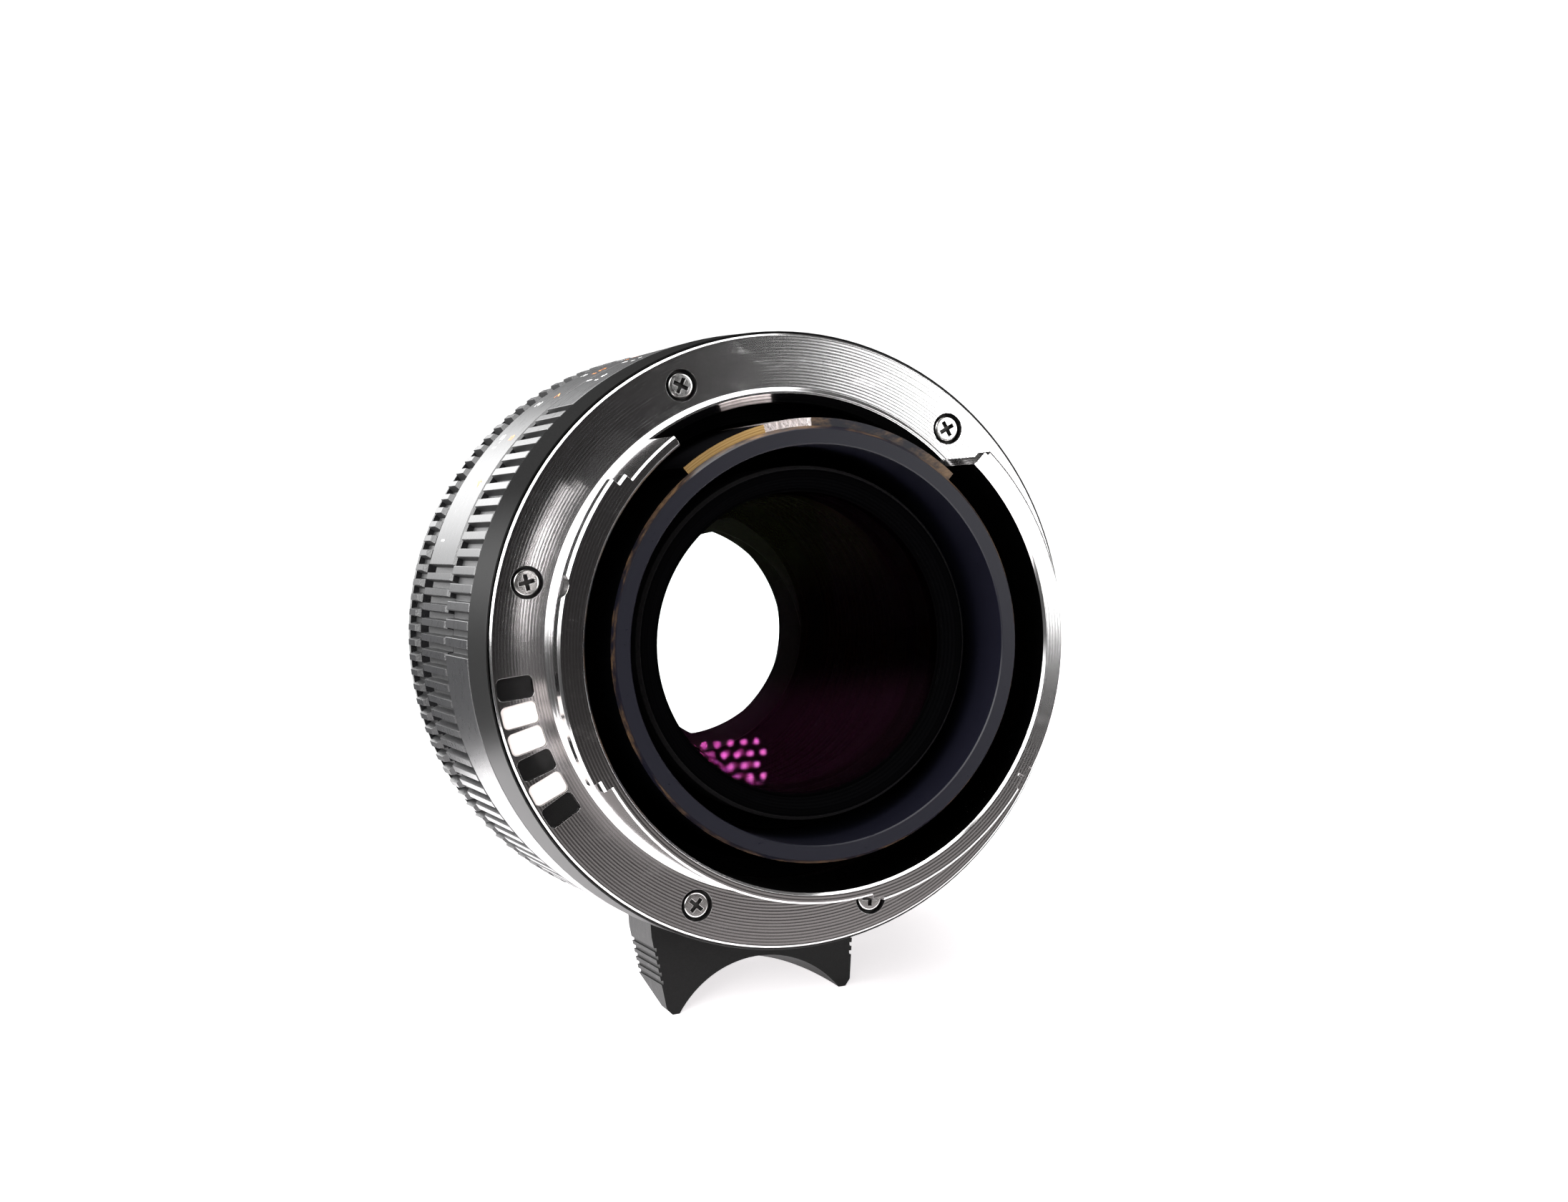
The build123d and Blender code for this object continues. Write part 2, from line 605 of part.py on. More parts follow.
with BuildPart() as front_spacer:
    ring(inner_front_r - 0.5, inner_front_r, inner_front_y + 1.2, filter_rear_y - 1.2)
finish(front_spacer, "front_spacer")

with BuildPart() as front_element:
    lens_blank(front_glass_r, front_glass_r - 0.8, filter_rear_y - 1.2, filter_rear_y + 0.4, -0.9, 1.5)
finish(front_element, "front_element")

with BuildPart() as front_retaining_ring:
    ring(front_glass_r - 0.7, front_glass_r, filter_rear_y + 0.4, filter_rear_y + 0.9)
finish(front_retaining_ring, "front_retaining_ring")

bezel_r = barrel_r - 0.7
with BuildPart() as filter_ring:
    turned((iris_bore_r, wall_end_y), (bezel_r - 0.1, wall_end_y), (bezel_r, wall_end_y + 0.1),
           (bezel_r, wall_end_y + 0.4), (front_r + 0.4, wall_end_y + 1.8), (front_r, wall_end_y + 2.6),
           (front_r, front_y - 0.25), (front_r - 0.25, front_y), (filter_r, front_y),
           (filter_r, front_y - thread_length), (filter_r - thread_step, front_y - thread_length),
           (filter_r - thread_step, filter_rear_y), (iris_bore_r, filter_rear_y))
finish(filter_ring, "filter_ring")

# ================================================================ aperture ring body
aperture_r = barrel_r + 0.1
knurl_end_y = aperture_ring_y + knurl_length
aperture_bore_r = housing_out_r + running_gap
with BuildPart() as aperture_ring:
    with BuildSketch(across(aperture_ring_end_y)):
        Circle(aperture_r)
        Circle(head_r + 0.3, mode=Mode.SUBTRACT)
    extrude(amount=aperture_ring_end_y - aperture_ring_y)
    with BuildSketch(across(knurl_end_y)):
        knurl_teeth(aperture_r, aperture_rib_pitch, 0, 360, 0.45, 1.1)
    extrude(amount=knurl_end_y - aperture_ring_y, mode=Mode.SUBTRACT)
    turned((head_r, aperture_ring_y), (aperture_r - 0.45, aperture_ring_y),
           (aperture_r, aperture_ring_y + 0.4), (aperture_r, knurl_end_y - 0.2),
           (aperture_r - 0.2, knurl_end_y), (aperture_r - 0.6, aperture_ring_end_y),
           (head_r, aperture_ring_end_y), mode=Mode.INTERSECT)
    ring(head_r, aperture_bore_r, iris_floor_rear_y - face_gap, aperture_ring_end_y + 1, Mode.SUBTRACT)
    with BuildSketch(across(ring_mid_y + 0.8)):
        for click in range(click_count):
            detent_deg = ball_deg - click * ring_turn_deg / (click_count - 1) + theta_rest
            with Locations(at_polar(aperture_bore_r, detent_deg)):
                Circle(0.35)
    extrude(amount=1.6, mode=Mode.SUBTRACT)
    with BuildSketch(radial(aperture_bore_r - 1, pin_deg, ring_mid_y)):
        Circle(pin_r + 0.02)
    extrude(amount=5, mode=Mode.SUBTRACT)
finish(aperture_ring, "aperture_ring")

ring_out_r = iris_bore_r - running_gap
pin_tip_r = ring_out_r - 0.8
slot_half = stud_r + 0.04


def stud_place(beta):
    """Radius and angle of a drive stud, for a blade turned by beta (degrees)."""
    x = pivot_circle_r + lever * sin(radians(beta))
    z = -lever * cos(radians(beta))
    return hypot(x, z), degrees(atan2(z, x))


def slot_outline(blade_angle, samples=18, spare=1.0):
    """Closed outline of one curved slot: the stud's path seen from the turning ring."""
    centres = []
    for i in range(samples + 1):
        beta = -spare + (closing_deg + 2 * spare) * i / samples
        r, angle = stud_place(beta)
        centres.append(Vector(*polar(r, blade_angle + angle - beta / ratio + theta_rest)))
    sides = ([], [])
    for i, centre in enumerate(centres):
        along = (centres[min(i + 1, samples)] - centres[max(i - 1, 0)]).normalized()
        normal = Vector(-along.Y, along.X)
        sides[0].append(centre + normal * slot_half)
        sides[1].append(centre - normal * slot_half)
    return sides[0] + sides[1][::-1]


blade_angles = [360 / blade_count * i for i in range(blade_count)]
with BuildPart() as iris_drive_ring:
    with BuildSketch(across(ring_rear_y + iris_ring_t)):
        Circle(ring_out_r)
        Circle(pivot_circle_r - 0.4, mode=Mode.SUBTRACT)
        with BuildSketch(Plane.XY, mode=Mode.PRIVATE) as slots:
            for angle in blade_angles:
                with BuildLine() as path:
                    Polyline(*slot_outline(angle), close=True)
                make_face(path.edges())
        add(slots.sketch, mode=Mode.SUBTRACT)
    extrude(amount=iris_ring_t)
    with BuildSketch(radial(pin_tip_r - 0.05, pin_deg, ring_mid_y)):
        Circle(pin_r + 0.02)
    extrude(amount=3, mode=Mode.SUBTRACT)
finish(iris_drive_ring, "iris_drive_ring")

with BuildPart() as drive_screw:
    with BuildSketch(radial(pin_tip_r, pin_deg, ring_mid_y)):
        Circle(pin_r)
    extrude(amount=aperture_r - 1.0 - pin_tip_r)
    with BuildSketch(radial(aperture_r - 1.0, pin_deg, ring_mid_y)):
        Rectangle(2, 0.2)
    extrude(amount=-0.3, mode=Mode.SUBTRACT)
finish(drive_screw, "drive_screw")

# ================================================================ iris blades
for number, angle in enumerate(blade_angles, start=1):
    level_y = iris_floor_y + blade_clear + (number - 1) * blade_pitch
    shift_x = pivot_circle_r * (1 - cos(radians(beta_rest)))
    shift_z = -pivot_circle_r * sin(radians(beta_rest))
    centre_r = hypot(shift_x, shift_z)
    centre_x, centre_z = polar(centre_r, angle + degrees(atan2(shift_z, shift_x)))
    turn_x, turn_z = polar(1, angle + beta_rest)
    level = Plane(origin=(centre_x, level_y, centre_z), x_dir=(turn_x, 0, turn_z), z_dir=(0, -1, 0))
    with BuildPart() as blade:
        with BuildSketch(level):
            sector(blade_in_r, blade_out_r, 0, blade_end_deg)
            with BuildLine() as neck:
                Polyline((blade_in_r + 0.6, 0), (pivot_circle_r, -1.0), (pivot_circle_r + 1.0, 0.2),
                         polar(blade_out_r, 9), polar(blade_in_r + 0.5, 5), close=True)
            make_face(neck.edges())
            with Locations((pivot_circle_r, 0)):
                Circle(1.0)
            with BuildLine() as arm:
                Polyline((pivot_circle_r - 0.6, 0), (pivot_circle_r - 0.55, -lever),
                         (pivot_circle_r + 0.55, -lever), (pivot_circle_r + 0.6, 0), close=True)
            make_face(arm.edges())
            with Locations((pivot_circle_r, -lever)):
                Circle(0.55)
        extrude(amount=-blade_t)
        with BuildSketch(level):
            with Locations((pivot_circle_r, 0)):
                Circle(pivot_r)
        extrude(amount=level_y - iris_floor_y + pivot_depth)
        with BuildSketch(level.offset(-blade_t)):
            with Locations((pivot_circle_r, -lever)):
                Circle(stud_r)
        extrude(amount=-(ring_rear_y + iris_ring_t - 0.2 - level_y - blade_t))
    finish(blade, f"iris_blade_{number:02d}")
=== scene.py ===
"""Finishes and fine shapes for a compact prime lens, built round its packed mechanical model."""
import json
import math

import bmesh
import bpy
from mathutils import Matrix, Vector


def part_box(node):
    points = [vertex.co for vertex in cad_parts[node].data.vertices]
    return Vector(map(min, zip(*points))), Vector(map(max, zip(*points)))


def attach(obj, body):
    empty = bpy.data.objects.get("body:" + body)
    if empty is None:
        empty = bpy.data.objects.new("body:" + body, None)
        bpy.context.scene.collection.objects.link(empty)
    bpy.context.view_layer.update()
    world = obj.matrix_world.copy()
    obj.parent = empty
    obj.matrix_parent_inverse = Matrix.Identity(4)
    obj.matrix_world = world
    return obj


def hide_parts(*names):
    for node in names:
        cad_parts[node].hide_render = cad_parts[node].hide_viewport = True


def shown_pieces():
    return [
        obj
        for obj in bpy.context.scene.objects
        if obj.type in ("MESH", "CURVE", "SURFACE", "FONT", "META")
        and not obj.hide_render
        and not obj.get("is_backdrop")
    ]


bl_info = {
    "name": "Compact Prime Lens",
    "version": (1, 0, 0),
    "blender": (4, 5, 0),
    "location": "View3D > Sidebar > Lens",
    "description": "Builds the shapes and finishes of a manual-focus prime lens on its mechanical frame",
    "category": "Object",
}

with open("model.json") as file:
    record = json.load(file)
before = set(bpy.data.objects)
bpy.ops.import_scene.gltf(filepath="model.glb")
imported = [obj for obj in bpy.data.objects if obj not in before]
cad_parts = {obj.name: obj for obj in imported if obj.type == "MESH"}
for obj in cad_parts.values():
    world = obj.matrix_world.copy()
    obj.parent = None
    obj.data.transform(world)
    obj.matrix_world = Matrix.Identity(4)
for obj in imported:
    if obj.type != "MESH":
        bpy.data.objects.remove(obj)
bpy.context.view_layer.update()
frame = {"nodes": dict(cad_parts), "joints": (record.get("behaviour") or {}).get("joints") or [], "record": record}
MM = 0.001
NODES = frame["nodes"]
BODY_OF = {node: body for body, nodes in frame["record"]["behaviour"]["bodies"].items() for node in nodes}


# ------------------------------------------------------------------ fixed values, in millimetres and degrees
RIB_LAND = 0.06            # how far below the rib tops a face counts as a groove
RAMP_PATCH = (88.0, 101.0)     # freshly cut part of the cam
LOBE_R = 17.75             # the cam is raised outside this radius
EDGE_BACK = 0.26           # width of the cam's worn edge
PAINT_LIFT = 0.008         # paint stands this far out of its ring
SCREW_DEG = (46.6, 109.9, 162.8, 244.4, 283.9, 345.4)
SCREW_R = 23.2
SCREW_SLOT_Y = 0.25        # what lies deeper than this is a cross recess
COUNTERBORE_R = 1.4
SHINE_TOP = (15.0, 2.0)    # heights between which the collar goes from dull to shiny
SHINE = 0.4
THROAT_RIM = (20.0, -0.45, 0.7)    # radius, station and bevel of the bayonet's cut-away edge
FLAT_FACE = 0.9            # a face whose normal has this much of the axis is an end face
FOCUS_BORE_R = 24.0        # what lies inside this is no rib of the focusing ring
APERTURE_BORE_R = 25.0
APERTURE_KNURL = 3.2       # length of the aperture ring's knurl
HEAD_BORE_R = 19.6         # the head's brass gets matt black inside this, as painted shade
CELL_BORE_R = 13.6         # the rear cell is dull black inside this
GRAIN_RELIEF, LATHE_RELIEF = 0.00003, 0.00005      # metres
INDEX_DEG = 90.0           # the index is on top
STOPS = ("2", "2.8", "4", "5.6", "8", "11", "16")
STOP_DEG = 9.0
DEPTH_SPREAD = (5.0, 8.5, 13.0, 19.0, 27.0)
CLOSEST_M = 0.7
BAND_DROP = 0.42           # middle of the number band below the knurl
BAND_BACK = 1.3
BAND_TAPER = 0.16
MARK_END = 0.5             # the marks stop this far behind the scale ring's front edge
INDEX_WIDTH, MARK_WIDTH, MARK_LENGTH = 0.28, 0.2, 1.5
DISTANCES = (
    ("distance_feet", "orange_paint", 2.7, 0.3048, (4, 5, 7, 10, 15, 30)),
    ("distance_metres", "white_paint", 6.6, 1.0, (1, 1.2, 1.5, 2, 3, 5, 10)),
)
GLASS_STEPS = 26           # steps along a glass face
GLASS_TURN = 160
ELEMENTS = (               # name, finish, rim margin, rise of the rear face, rise of the front face
    ("rear_element", "rear_glass", 0.8, 0.9, -0.8),
    ("inner_rear_element", "inner_glass", 0.9, -0.7, 0.9),
    ("inner_front_element", "inner_glass", 0.6, -0.5, 0.6),
    ("front_element", "front_glass", 0.8, -0.9, 1.5),
)
FRONT_RIM_R = 24.0
FLOOR_WIDTH, FLOOR_LENGTH, FLOOR_SHIFT, FLOOR_GAP = 300.0, 170.0, -45.0, 0.02
SOFTBOXES = (              # name, place, radiance, width
    ("left_softbox", (-330.0, 60.0, 140.0), 14.0, 240.0),
    ("top_softbox", (20.0, -40.0, 380.0), 3.0, 320.0),
)
RIGHT_PANEL = ((250.0, -252.0, 92.0), 240.0, 5.0)      # middle, width and level; lights no glass
HONEYCOMB = ((22.0, -165.0, -68.0), 46.0, 6.6, 60.0)   # middle, width, cell and level; lights only glass
FLOOR_GLOW = 0.75          # light scattered up by the translucent table
CELL_FILL, ROW_PITCH = 0.3, 0.87           # cell radius and row distance, as parts of a cell
# Levels of the surroundings, and the parts of a direction between which one turns into the next
SIDE_LEVEL, AHEAD_LEVEL, SHOWN_LEVEL = 0.15, 1.9, 1.2
DARK_LEVEL, GREY_LEVEL = 0.015, 0.34       # the field behind the camera, level and below
LOW_LEVEL, HIGH_LEVEL = 0.1, 6.0           # the left side, low and high
FIELD_TINT = (1.0, 0.93, 0.92, 1.0)
BELOW_STEP = (-0.12, -0.22)
LEFT_STEP = (-0.55, -0.3)
BEHIND_STEP = (-0.15, -0.4)
LOW_STEP = (0.0, 0.4)
AHEAD_STEP = (0.0, 0.35)
AHEAD_SIDE_STEP = (-0.1, 0.08)
ABOVE_STEP = (0.06, 0.0)
CAMERA_PLACE = (-65.94, -166.58, 13.11)
CAMERA_AIM = (-0.315, 0.0, 3.436)
CAMERA_UP = (0.080, 0.0, 0.997)
CAMERA_LENS = 49.27


# ------------------------------------------------------------------ settings
class LensSizes(bpy.types.PropertyGroup):
    """Sizes of the details that the mechanical model leaves out."""
    turn_steps: bpy.props.IntProperty(
        name="Turn steps", description="Segments round a turned piece", default=288, min=48, max=512)
    edge: bpy.props.FloatProperty(
        name="Edge", description="Width of the softened edges", default=0.07 * MM, unit="LENGTH", precision=5)
    lathe_pitch: bpy.props.FloatProperty(
        name="Lathe pitch", description="Distance between turning marks on the flange",
        default=0.26 * MM, unit="LENGTH", precision=5)
    figure_height: bpy.props.FloatProperty(
        name="Figure height", description="Height of the figures on the scales", default=1.7 * MM,
        unit="LENGTH", precision=5)


class LensColours(bpy.types.PropertyGroup):
    """Colours of the main finishes."""
    black: bpy.props.FloatVectorProperty(
        name="Black", description="Anodised barrel", subtype="COLOR", size=3, default=(0.022, 0.022, 0.024))
    chrome: bpy.props.FloatVectorProperty(
        name="Chrome", description="Bayonet plate", subtype="COLOR", size=3, default=(0.80, 0.79, 0.79))
    brass: bpy.props.FloatVectorProperty(
        name="Brass", description="Bare brass", subtype="COLOR", size=3, default=(0.40, 0.24, 0.10))
    feet: bpy.props.FloatVectorProperty(
        name="Feet", description="Second row of distance figures", subtype="COLOR", size=3,
        default=(0.80, 0.24, 0.04))


def sizes():
    return bpy.context.scene.lens_sizes


def colours():
    return bpy.context.scene.lens_colours


# ------------------------------------------------------------------ node helpers
def node(tree, kind, **values):
    """Add a shader node; values name its attributes or, failing that, its inputs."""
    made = tree.nodes.new(kind)
    for key, value in values.items():
        if hasattr(made, key):
            setattr(made, key, value)
        else:
            made.inputs[key.replace("_", " ")].default_value = value
    return made


def radius_from(tree):
    """Distance of a point from the optical axis, as a socket."""
    place = node(tree, "ShaderNodeTexCoord")
    split = node(tree, "ShaderNodeSeparateXYZ")
    flat = node(tree, "ShaderNodeCombineXYZ")
    length = node(tree, "ShaderNodeVectorMath", operation="LENGTH")
    tree.links.new(place.outputs["Object"], split.inputs[0])
    tree.links.new(split.outputs["X"], flat.inputs["X"])
    tree.links.new(split.outputs["Z"], flat.inputs["Z"])
    tree.links.new(flat.outputs[0], length.inputs[0])
    return length.outputs["Value"]


def group_tree(name, inputs, outputs):
    """Empty node group with named float inputs and outputs given as (name, socket kind)."""
    tree = bpy.data.node_groups.new(name, "ShaderNodeTree")
    for label, default in inputs:
        socket = tree.interface.new_socket(label, in_out="INPUT", socket_type="NodeSocketFloat")
        socket.default_value = default
    for label, kind in outputs:
        tree.interface.new_socket(label, in_out="OUTPUT", socket_type=kind)
    return tree, node(tree, "NodeGroupInput"), node(tree, "NodeGroupOutput")


def make_grain():
    """Fine cast or blasted grain: a normal and a mask."""
    tree, given, out = group_tree("fine_grain", [("Scale", 4000.0), ("Depth", 0.02)],
                                  [("Normal", "NodeSocketVector"), ("Mask", "NodeSocketFloat")])
    place = node(tree, "ShaderNodeTexCoord")
    noise = node(tree, "ShaderNodeTexNoise", Detail=3.0, Roughness=0.6)
    bump = node(tree, "ShaderNodeBump", Distance=GRAIN_RELIEF)
    tree.links.new(place.outputs["Object"], noise.inputs["Vector"])
    tree.links.new(given.outputs["Scale"], noise.inputs["Scale"])
    tree.links.new(given.outputs["Depth"], bump.inputs["Strength"])
    tree.links.new(noise.outputs["Fac"], bump.inputs["Height"])
    tree.links.new(bump.outputs["Normal"], out.inputs["Normal"])
    tree.links.new(noise.outputs["Fac"], out.inputs["Mask"])
    return tree


def make_lathe():
    """Rings left by a turning tool: a normal and a mask, both by radius."""
    tree, given, out = group_tree("lathe_rings", [("Pitch", 0.00017), ("Depth", 0.1), ("Wander", 0.5)],
                                  [("Normal", "NodeSocketVector"), ("Mask", "NodeSocketFloat")])
    radius = radius_from(tree)
    turns = node(tree, "ShaderNodeMath", operation="DIVIDE")
    tree.links.new(radius, turns.inputs[0])
    tree.links.new(given.outputs["Pitch"], turns.inputs[1])
    wave = node(tree, "ShaderNodeMath", operation="SINE")
    phase = node(tree, "ShaderNodeMath", operation="MULTIPLY")
    phase.inputs[1].default_value = math.tau
    tree.links.new(turns.outputs[0], phase.inputs[0])
    tree.links.new(phase.outputs[0], wave.inputs[0])
    noise = node(tree, "ShaderNodeTexNoise", noise_dimensions="1D", Detail=4.0, Roughness=0.7, Scale=1.3)
    tree.links.new(turns.outputs[0], noise.inputs["W"])
    mix = node(tree, "ShaderNodeMath", operation="MULTIPLY_ADD")
    tree.links.new(noise.outputs["Fac"], mix.inputs[0])
    tree.links.new(given.outputs["Wander"], mix.inputs[1])
    half = node(tree, "ShaderNodeMath", operation="MULTIPLY")
    half.inputs[1].default_value = 0.25
    tree.links.new(wave.outputs[0], half.inputs[0])
    tree.links.new(half.outputs[0], mix.inputs[2])
    bump = node(tree, "ShaderNodeBump", Distance=LATHE_RELIEF)
    tree.links.new(given.outputs["Depth"], bump.inputs["Strength"])
    tree.links.new(mix.outputs[0], bump.inputs["Height"])
    tree.links.new(bump.outputs["Normal"], out.inputs["Normal"])
    tree.links.new(mix.outputs[0], out.inputs["Mask"])
    return tree


def make_wear():
    """Sparse scuffs and specks: a mask that is 1 where the surface is marked."""
    tree, given, out = group_tree("scuffs", [("Scale", 900.0), ("Amount", 0.62)],
                                  [("Mask", "NodeSocketFloat")])
    place = node(tree, "ShaderNodeTexCoord")
    stretch = node(tree, "ShaderNodeMapping", Rotation=(0.4, 0.9, 0.2), Scale=(1.0, 6.0, 2.0))
    noise = node(tree, "ShaderNodeTexNoise", Detail=5.0, Roughness=0.75)
    step = node(tree, "ShaderNodeMapRange", interpolation_type="SMOOTHSTEP")
    step.inputs["From Max"].default_value = 0.8
    tree.links.new(place.outputs["Object"], stretch.inputs["Vector"])
    tree.links.new(stretch.outputs[0], noise.inputs["Vector"])
    tree.links.new(given.outputs["Scale"], noise.inputs["Scale"])
    tree.links.new(given.outputs["Amount"], step.inputs["From Min"])
    tree.links.new(noise.outputs["Fac"], step.inputs["Value"])
    tree.links.new(step.outputs["Result"], out.inputs["Mask"])
    return tree


GROUPS = {"fine_grain": make_grain, "lathe_rings": make_lathe, "scuffs": make_wear}


def effect(tree, name, **values):
    """Place a shared effect group in a material."""
    if name not in bpy.data.node_groups:
        GROUPS[name]()
    used = node(tree, "ShaderNodeGroup")
    used.node_tree = bpy.data.node_groups[name]
    for key, value in values.items():
        used.inputs[key].default_value = value
    return used


def grey(level):
    """Neutral colour of one level."""
    return (level, level, level)


def new_material(name, colour, metallic=0.0, roughness=0.5, **more):
    """Material with one Principled shader whose plain values are set on its own sockets."""
    material = bpy.data.materials.new(name + "_finish")
    material.use_nodes = True
    tree = material.node_tree
    shader = tree.nodes["Principled BSDF"]
    shader.inputs["Base Color"].default_value = (*colour, 1.0)
    shader.inputs["Metallic"].default_value = metallic
    shader.inputs["Roughness"].default_value = roughness
    for key, value in more.items():
        shader.inputs[key.replace("_", " ")].default_value = value
    material.diffuse_color = (*colour, 1.0)
    return material, tree, shader


def roughened(shader, mask, low, high):
    """Let a mask set a shader's roughness between two values."""
    tree = shader.id_data
    ramp = node(tree, "ShaderNodeMapRange")
    ramp.inputs["To Min"].default_value = low
    ramp.inputs["To Max"].default_value = high
    tree.links.new(mask, ramp.inputs["Value"])
    tree.links.new(ramp.outputs["Result"], shader.inputs["Roughness"])


def tinted(shader, mask, low, high):
    """Let a mask mix two colours into a shader's base colour."""
    tree = shader.id_data
    mix = node(tree, "ShaderNodeMix", data_type="RGBA")
    mix.inputs["A"].default_value = (*low, 1.0)
    mix.inputs["B"].default_value = (*high, 1.0)
    tree.links.new(mask, mix.inputs["Factor"])
    tree.links.new(mix.outputs["Result"], shader.inputs["Base Color"])


# ------------------------------------------------------------------ materials
def turned_chrome():
    """Satin chrome plate with the turning marks of the flange."""
    material, tree, shader = new_material("turned_chrome", colours().chrome, 1.0, 0.16)
    lathe = effect(tree, "lathe_rings", Pitch=sizes().lathe_pitch, Depth=0.12, Wander=0.5)
    wear = effect(tree, "scuffs", Scale=260.0, Amount=0.55)
    tree.links.new(lathe.outputs["Normal"], shader.inputs["Normal"])
    roughened(shader, wear.outputs["Mask"], 0.13, 0.2)
    tinted(shader, lathe.outputs["Mask"], (0.66, 0.65, 0.65), (0.92, 0.91, 0.91))
    return material


def polished_steel():
    """Bright machine screws and small hardware."""
    material, tree, shader = new_material("polished_steel", (0.72, 0.71, 0.70), 1.0, 0.2)
    grain = effect(tree, "fine_grain", Scale=5000.0, Depth=0.12)
    tree.links.new(grain.outputs["Normal"], shader.inputs["Normal"])
    roughened(shader, grain.outputs["Mask"], 0.1, 0.3)
    return material


def satin_black():
    """Black anodised barrel, finely blasted, a little polished where it is handled."""
    material, tree, shader = new_material("satin_black", colours().black, 0.0, 0.3, Specular_IOR_Level=0.7)
    grain = effect(tree, "fine_grain", Scale=9000.0, Depth=0.12)
    wear = effect(tree, "scuffs", Scale=300.0, Amount=0.45)
    tree.links.new(grain.outputs["Normal"], shader.inputs["Normal"])
    roughened(shader, wear.outputs["Mask"], 0.3, 0.22)
    tinted(shader, grain.outputs["Mask"], (0.006, 0.006, 0.007), (0.016, 0.016, 0.017))
    return material


def collar_black():
    """Dull black of the collar behind the bayonet, handled to a shine below its shoulder."""
    material, tree, shader = new_material("collar_black", grey(0.008), 0.0, 0.6, Specular_IOR_Level=0.0,
                                          Coat_Roughness=0.3)
    place = node(tree, "ShaderNodeTexCoord")
    split = node(tree, "ShaderNodeSeparateXYZ")
    shine = node(tree, "ShaderNodeMapRange", interpolation_type="SMOOTHSTEP")
    shine.inputs["From Min"].default_value = SHINE_TOP[0] * MM
    shine.inputs["From Max"].default_value = SHINE_TOP[1] * MM
    shine.inputs["To Max"].default_value = SHINE
    tree.links.new(place.outputs["Object"], split.inputs[0])
    tree.links.new(split.outputs["Z"], shine.inputs["Value"])
    tree.links.new(shine.outputs["Result"], shader.inputs["Coat Weight"])
    grain = effect(tree, "fine_grain", Scale=8000.0, Depth=0.3)
    tree.links.new(grain.outputs["Normal"], shader.inputs["Normal"])
    tinted(shader, grain.outputs["Mask"], grey(0.004), grey(0.012))
    return material


def knurl_black():
    """Black anodised ribs with rough, blasted flanks."""
    material, tree, shader = new_material("knurl_black", colours().black, 0.0, 0.45)
    grain = effect(tree, "fine_grain", Scale=6000.0, Depth=0.9)
    tree.links.new(grain.outputs["Normal"], shader.inputs["Normal"])
    roughened(shader, grain.outputs["Mask"], 0.3, 0.5)
    tinted(shader, grain.outputs["Mask"], grey(0.004), (0.022, 0.022, 0.023))
    return material


def tab_black():
    """Denser black of the focusing tab."""
    material, tree, shader = new_material("tab_black", grey(0.004), 0.0, 0.5, Specular_IOR_Level=0.2)
    grain = effect(tree, "fine_grain", Scale=7000.0, Depth=0.5)
    wear = effect(tree, "scuffs", Scale=250.0, Amount=0.5)
    tree.links.new(grain.outputs["Normal"], shader.inputs["Normal"])
    roughened(shader, wear.outputs["Mask"], 0.5, 0.36)
    tinted(shader, grain.outputs["Mask"], grey(0.003), grey(0.008))
    return material


def matt_black():
    """Light-trapping black of the inner tubes and cells."""
    material, tree, shader = new_material("matt_black", grey(0.003), 0.0, 0.9, Specular_IOR_Level=0.0)
    lathe = effect(tree, "lathe_rings", Pitch=0.00025, Depth=0.15, Wander=0.9)
    tree.links.new(lathe.outputs["Normal"], shader.inputs["Normal"])
    tinted(shader, lathe.outputs["Mask"], (0.0006, 0.0006, 0.0008), (0.002, 0.002, 0.0022))
    return material


def cell_grey():
    """Blasted dark grey of the rear cell's rim."""
    material, tree, shader = new_material("cell_grey", grey(0.02), 0.0, 0.75, Specular_IOR_Level=0.15)
    grain = effect(tree, "fine_grain", Scale=8000.0, Depth=0.6)
    tree.links.new(grain.outputs["Normal"], shader.inputs["Normal"])
    tinted(shader, grain.outputs["Mask"], (0.012, 0.011, 0.012), (0.030, 0.029, 0.030))
    return material


def blackened_cam():
    """Blackened cam: blue-black, with scuffs and a rear edge worn through to the brass."""
    material, tree, shader = new_material("blackened_cam", (0.006, 0.006, 0.012), 0.0, 0.3,
                                          Specular_IOR_Level=0.3)
    radius = radius_from(tree)
    wear = effect(tree, "scuffs", Scale=1100.0, Amount=0.6)
    edge_r = (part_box("cam_ring")[1].x - EDGE_BACK * MM)
    edge = node(tree, "ShaderNodeMapRange")
    edge.inputs["From Min"].default_value = edge_r
    edge.inputs["From Max"].default_value = edge_r + 0.06 * MM
    tree.links.new(radius, edge.inputs["Value"])
    chipped = node(tree, "ShaderNodeMath", operation="MULTIPLY", use_clamp=True)
    chips = effect(tree, "scuffs", Scale=160.0, Amount=0.44)
    tree.links.new(edge.outputs["Result"], chipped.inputs[0])
    tree.links.new(chips.outputs["Mask"], chipped.inputs[1])
    tinted(shader, chipped.outputs[0], (0.005, 0.005, 0.010), (0.22, 0.13, 0.06))
    roughened(shader, wear.outputs["Mask"], 0.36, 0.16)
    return material


def cut_ramp():
    """Bare metal of the cam's ramp, with the cutter's strokes across it."""
    material, tree, shader = new_material("cut_ramp", (0.78, 0.70, 0.68), 1.0, 0.25)
    grain = effect(tree, "fine_grain", Scale=2500.0, Depth=0.4)
    tree.links.new(grain.outputs["Normal"], shader.inputs["Normal"])
    tinted(shader, grain.outputs["Mask"], (0.60, 0.50, 0.48), (0.92, 0.86, 0.85))
    return material


